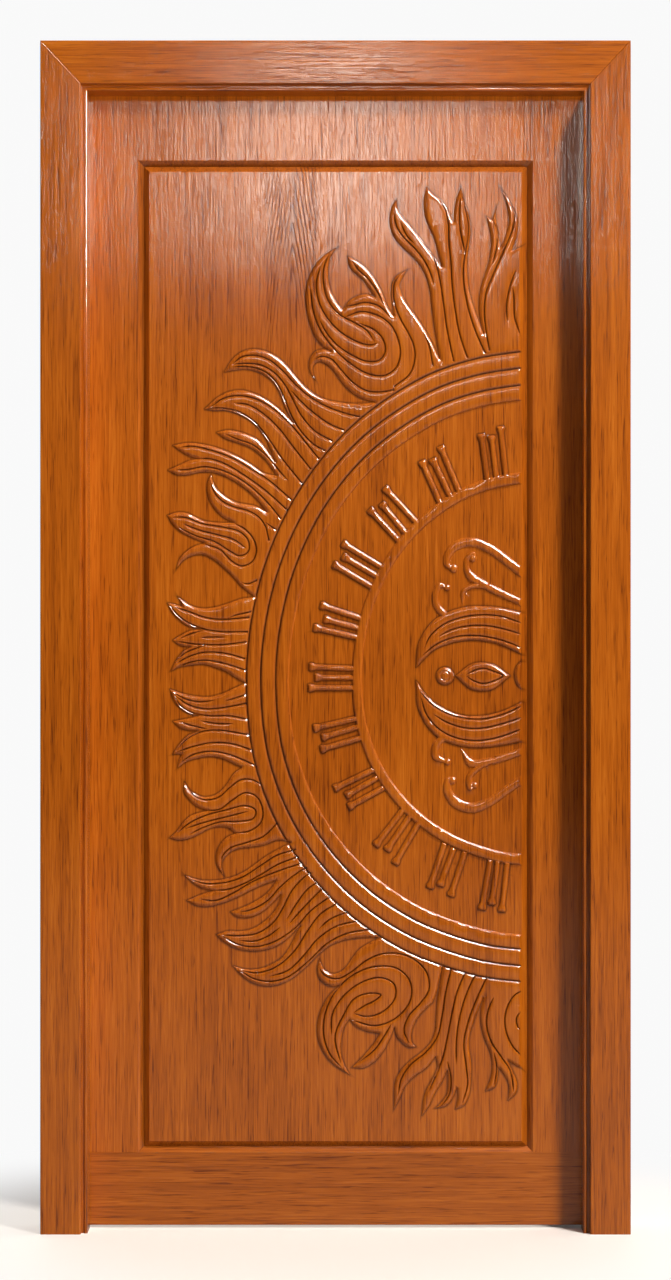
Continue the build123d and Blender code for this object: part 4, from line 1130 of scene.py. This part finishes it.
# %% [markdown]
# ## Lamps
# A large key light stands at the upper right. A raking light high above it deepens the relief, and casts
# shadows only from the panel, the right jamb and the right casing, because under the head its shadow would
# be far too long. A window over the camera lays its glare on the varnish at the top. A broad pale sheet at
# the upper right is seen only in reflections, on the rims of the cuts and on the bead.

# %% The lamps
def area_light(name, spot, aim, size, power, colour=(1, 1, 1)):
    data = bpy.data.lights.new(name, "AREA")
    data.shape, data.size, data.size_y = "RECTANGLE", size[0], size[1]
    data.energy, data.color = power, colour
    lamp = bpy.data.objects.new(name, data)
    lamp.location = spot
    lamp.rotation_euler = (Vector(aim) - Vector(spot)).to_track_quat("-Z", "Y").to_euler()
    bpy.context.scene.collection.objects.link(lamp)
    return lamp


area_light("key", (4.6, -6.4, 5.6), (0.0, 0.0, 1.05), (1.1, 1.1), 480, (1.0, 0.96, 0.90))
rake = area_light("rake", (4.0, -4.2, 9.2), (0.0, 0.0, 1.05), (1.1, 1.1), 800, (1.0, 0.95, 0.88))
shades = bpy.data.collections.new("rake_shadows")
for o in (panel, nodes["right_jamb"], nodes["front_right_casing"]):
    shades.objects.link(o)
rake.light_linking.blocker_collection = shades
area_light("window", (0.0, -6.3, 2.86), (0.0, 0.0, 1.9), (0.54, 0.66), 25, (1.0, 0.95, 0.86))
glints = area_light("glints", (3.2, -2.8, 5.2), (0.0, 0.0, 1.05), (3.2, 3.2), 1500, (1.0, 0.96, 0.90))
glints.visible_diffuse = False

# %% [markdown]
# ## Surround
# A soft light comes from all sides. It is weakest from behind the camera, where its reflection would grey
# the flat boards, and stronger from behind the door, so that its back can be seen. The camera sees white.

# %% The surround
world = bpy.data.worlds.new("studio")
bpy.context.scene.world = world
world.use_nodes = True
tree = world.node_tree
tree.nodes.clear()
seen = tree.nodes.new("ShaderNodeBackground")
seen.inputs[0].default_value, seen.inputs[1].default_value = (1, 1, 1, 1), 0.95
fill = tree.nodes.new("ShaderNodeBackground")
fill.inputs[0].default_value = (1.0, 0.97, 0.93, 1)
way = tree.nodes.new("ShaderNodeTexCoord")
parts = tree.nodes.new("ShaderNodeSeparateXYZ")
dim = tree.nodes.new("ShaderNodeMapRange")
dim.interpolation_type = "SMOOTHSTEP"
for key_name, v in (("From Min", -0.97), ("From Max", -0.62), ("To Min", 0.01), ("To Max", 0.10)):
    dim.inputs[key_name].default_value = v
behind = tree.nodes.new("ShaderNodeMapRange")
behind.interpolation_type = "SMOOTHSTEP"
for key_name, v in (("From Min", 0.0), ("From Max", 0.6), ("To Min", 0.0), ("To Max", 0.75)):
    behind.inputs[key_name].default_value = v
both = tree.nodes.new("ShaderNodeMath")  # adds
path = tree.nodes.new("ShaderNodeLightPath")
mix = tree.nodes.new("ShaderNodeMixShader")
out = tree.nodes.new("ShaderNodeOutputWorld")
tree.links.new(way.outputs["Generated"], parts.inputs[0])
tree.links.new(parts.outputs[1], dim.inputs["Value"])
tree.links.new(parts.outputs[1], behind.inputs["Value"])
tree.links.new(dim.outputs[0], both.inputs[0])
tree.links.new(behind.outputs[0], both.inputs[1])
tree.links.new(both.outputs[0], fill.inputs[1])
tree.links.new(path.outputs["Is Camera Ray"], mix.inputs[0])
tree.links.new(fill.outputs[0], mix.inputs[1])
tree.links.new(seen.outputs[0], mix.inputs[2])
tree.links.new(mix.outputs[0], out.inputs[0])
print(world.name, len(tree.nodes), "nodes")

# %% [markdown]
# ## Camera
# The photo was taken straight on from the middle of the door's height. A level camera keeps the frame's
# sides parallel, and a long lens from over six metres shows little of the jambs' inner faces, as there.

# %% Camera
camera_data = bpy.data.cameras.new("camera")
camera_data.lens = 95.04
camera_data.sensor_width = 36.0
camera = bpy.data.objects.new("camera", camera_data)
camera.location = (0.0, -6.262, 1.091)
camera.rotation_euler = (math.radians(90), 0, 0)
bpy.context.scene.collection.objects.link(camera)
bpy.context.scene.camera = camera
bpy.context.scene.view_settings.view_transform = "Standard"
print("camera", tuple(camera.location), "lens", camera_data.lens)
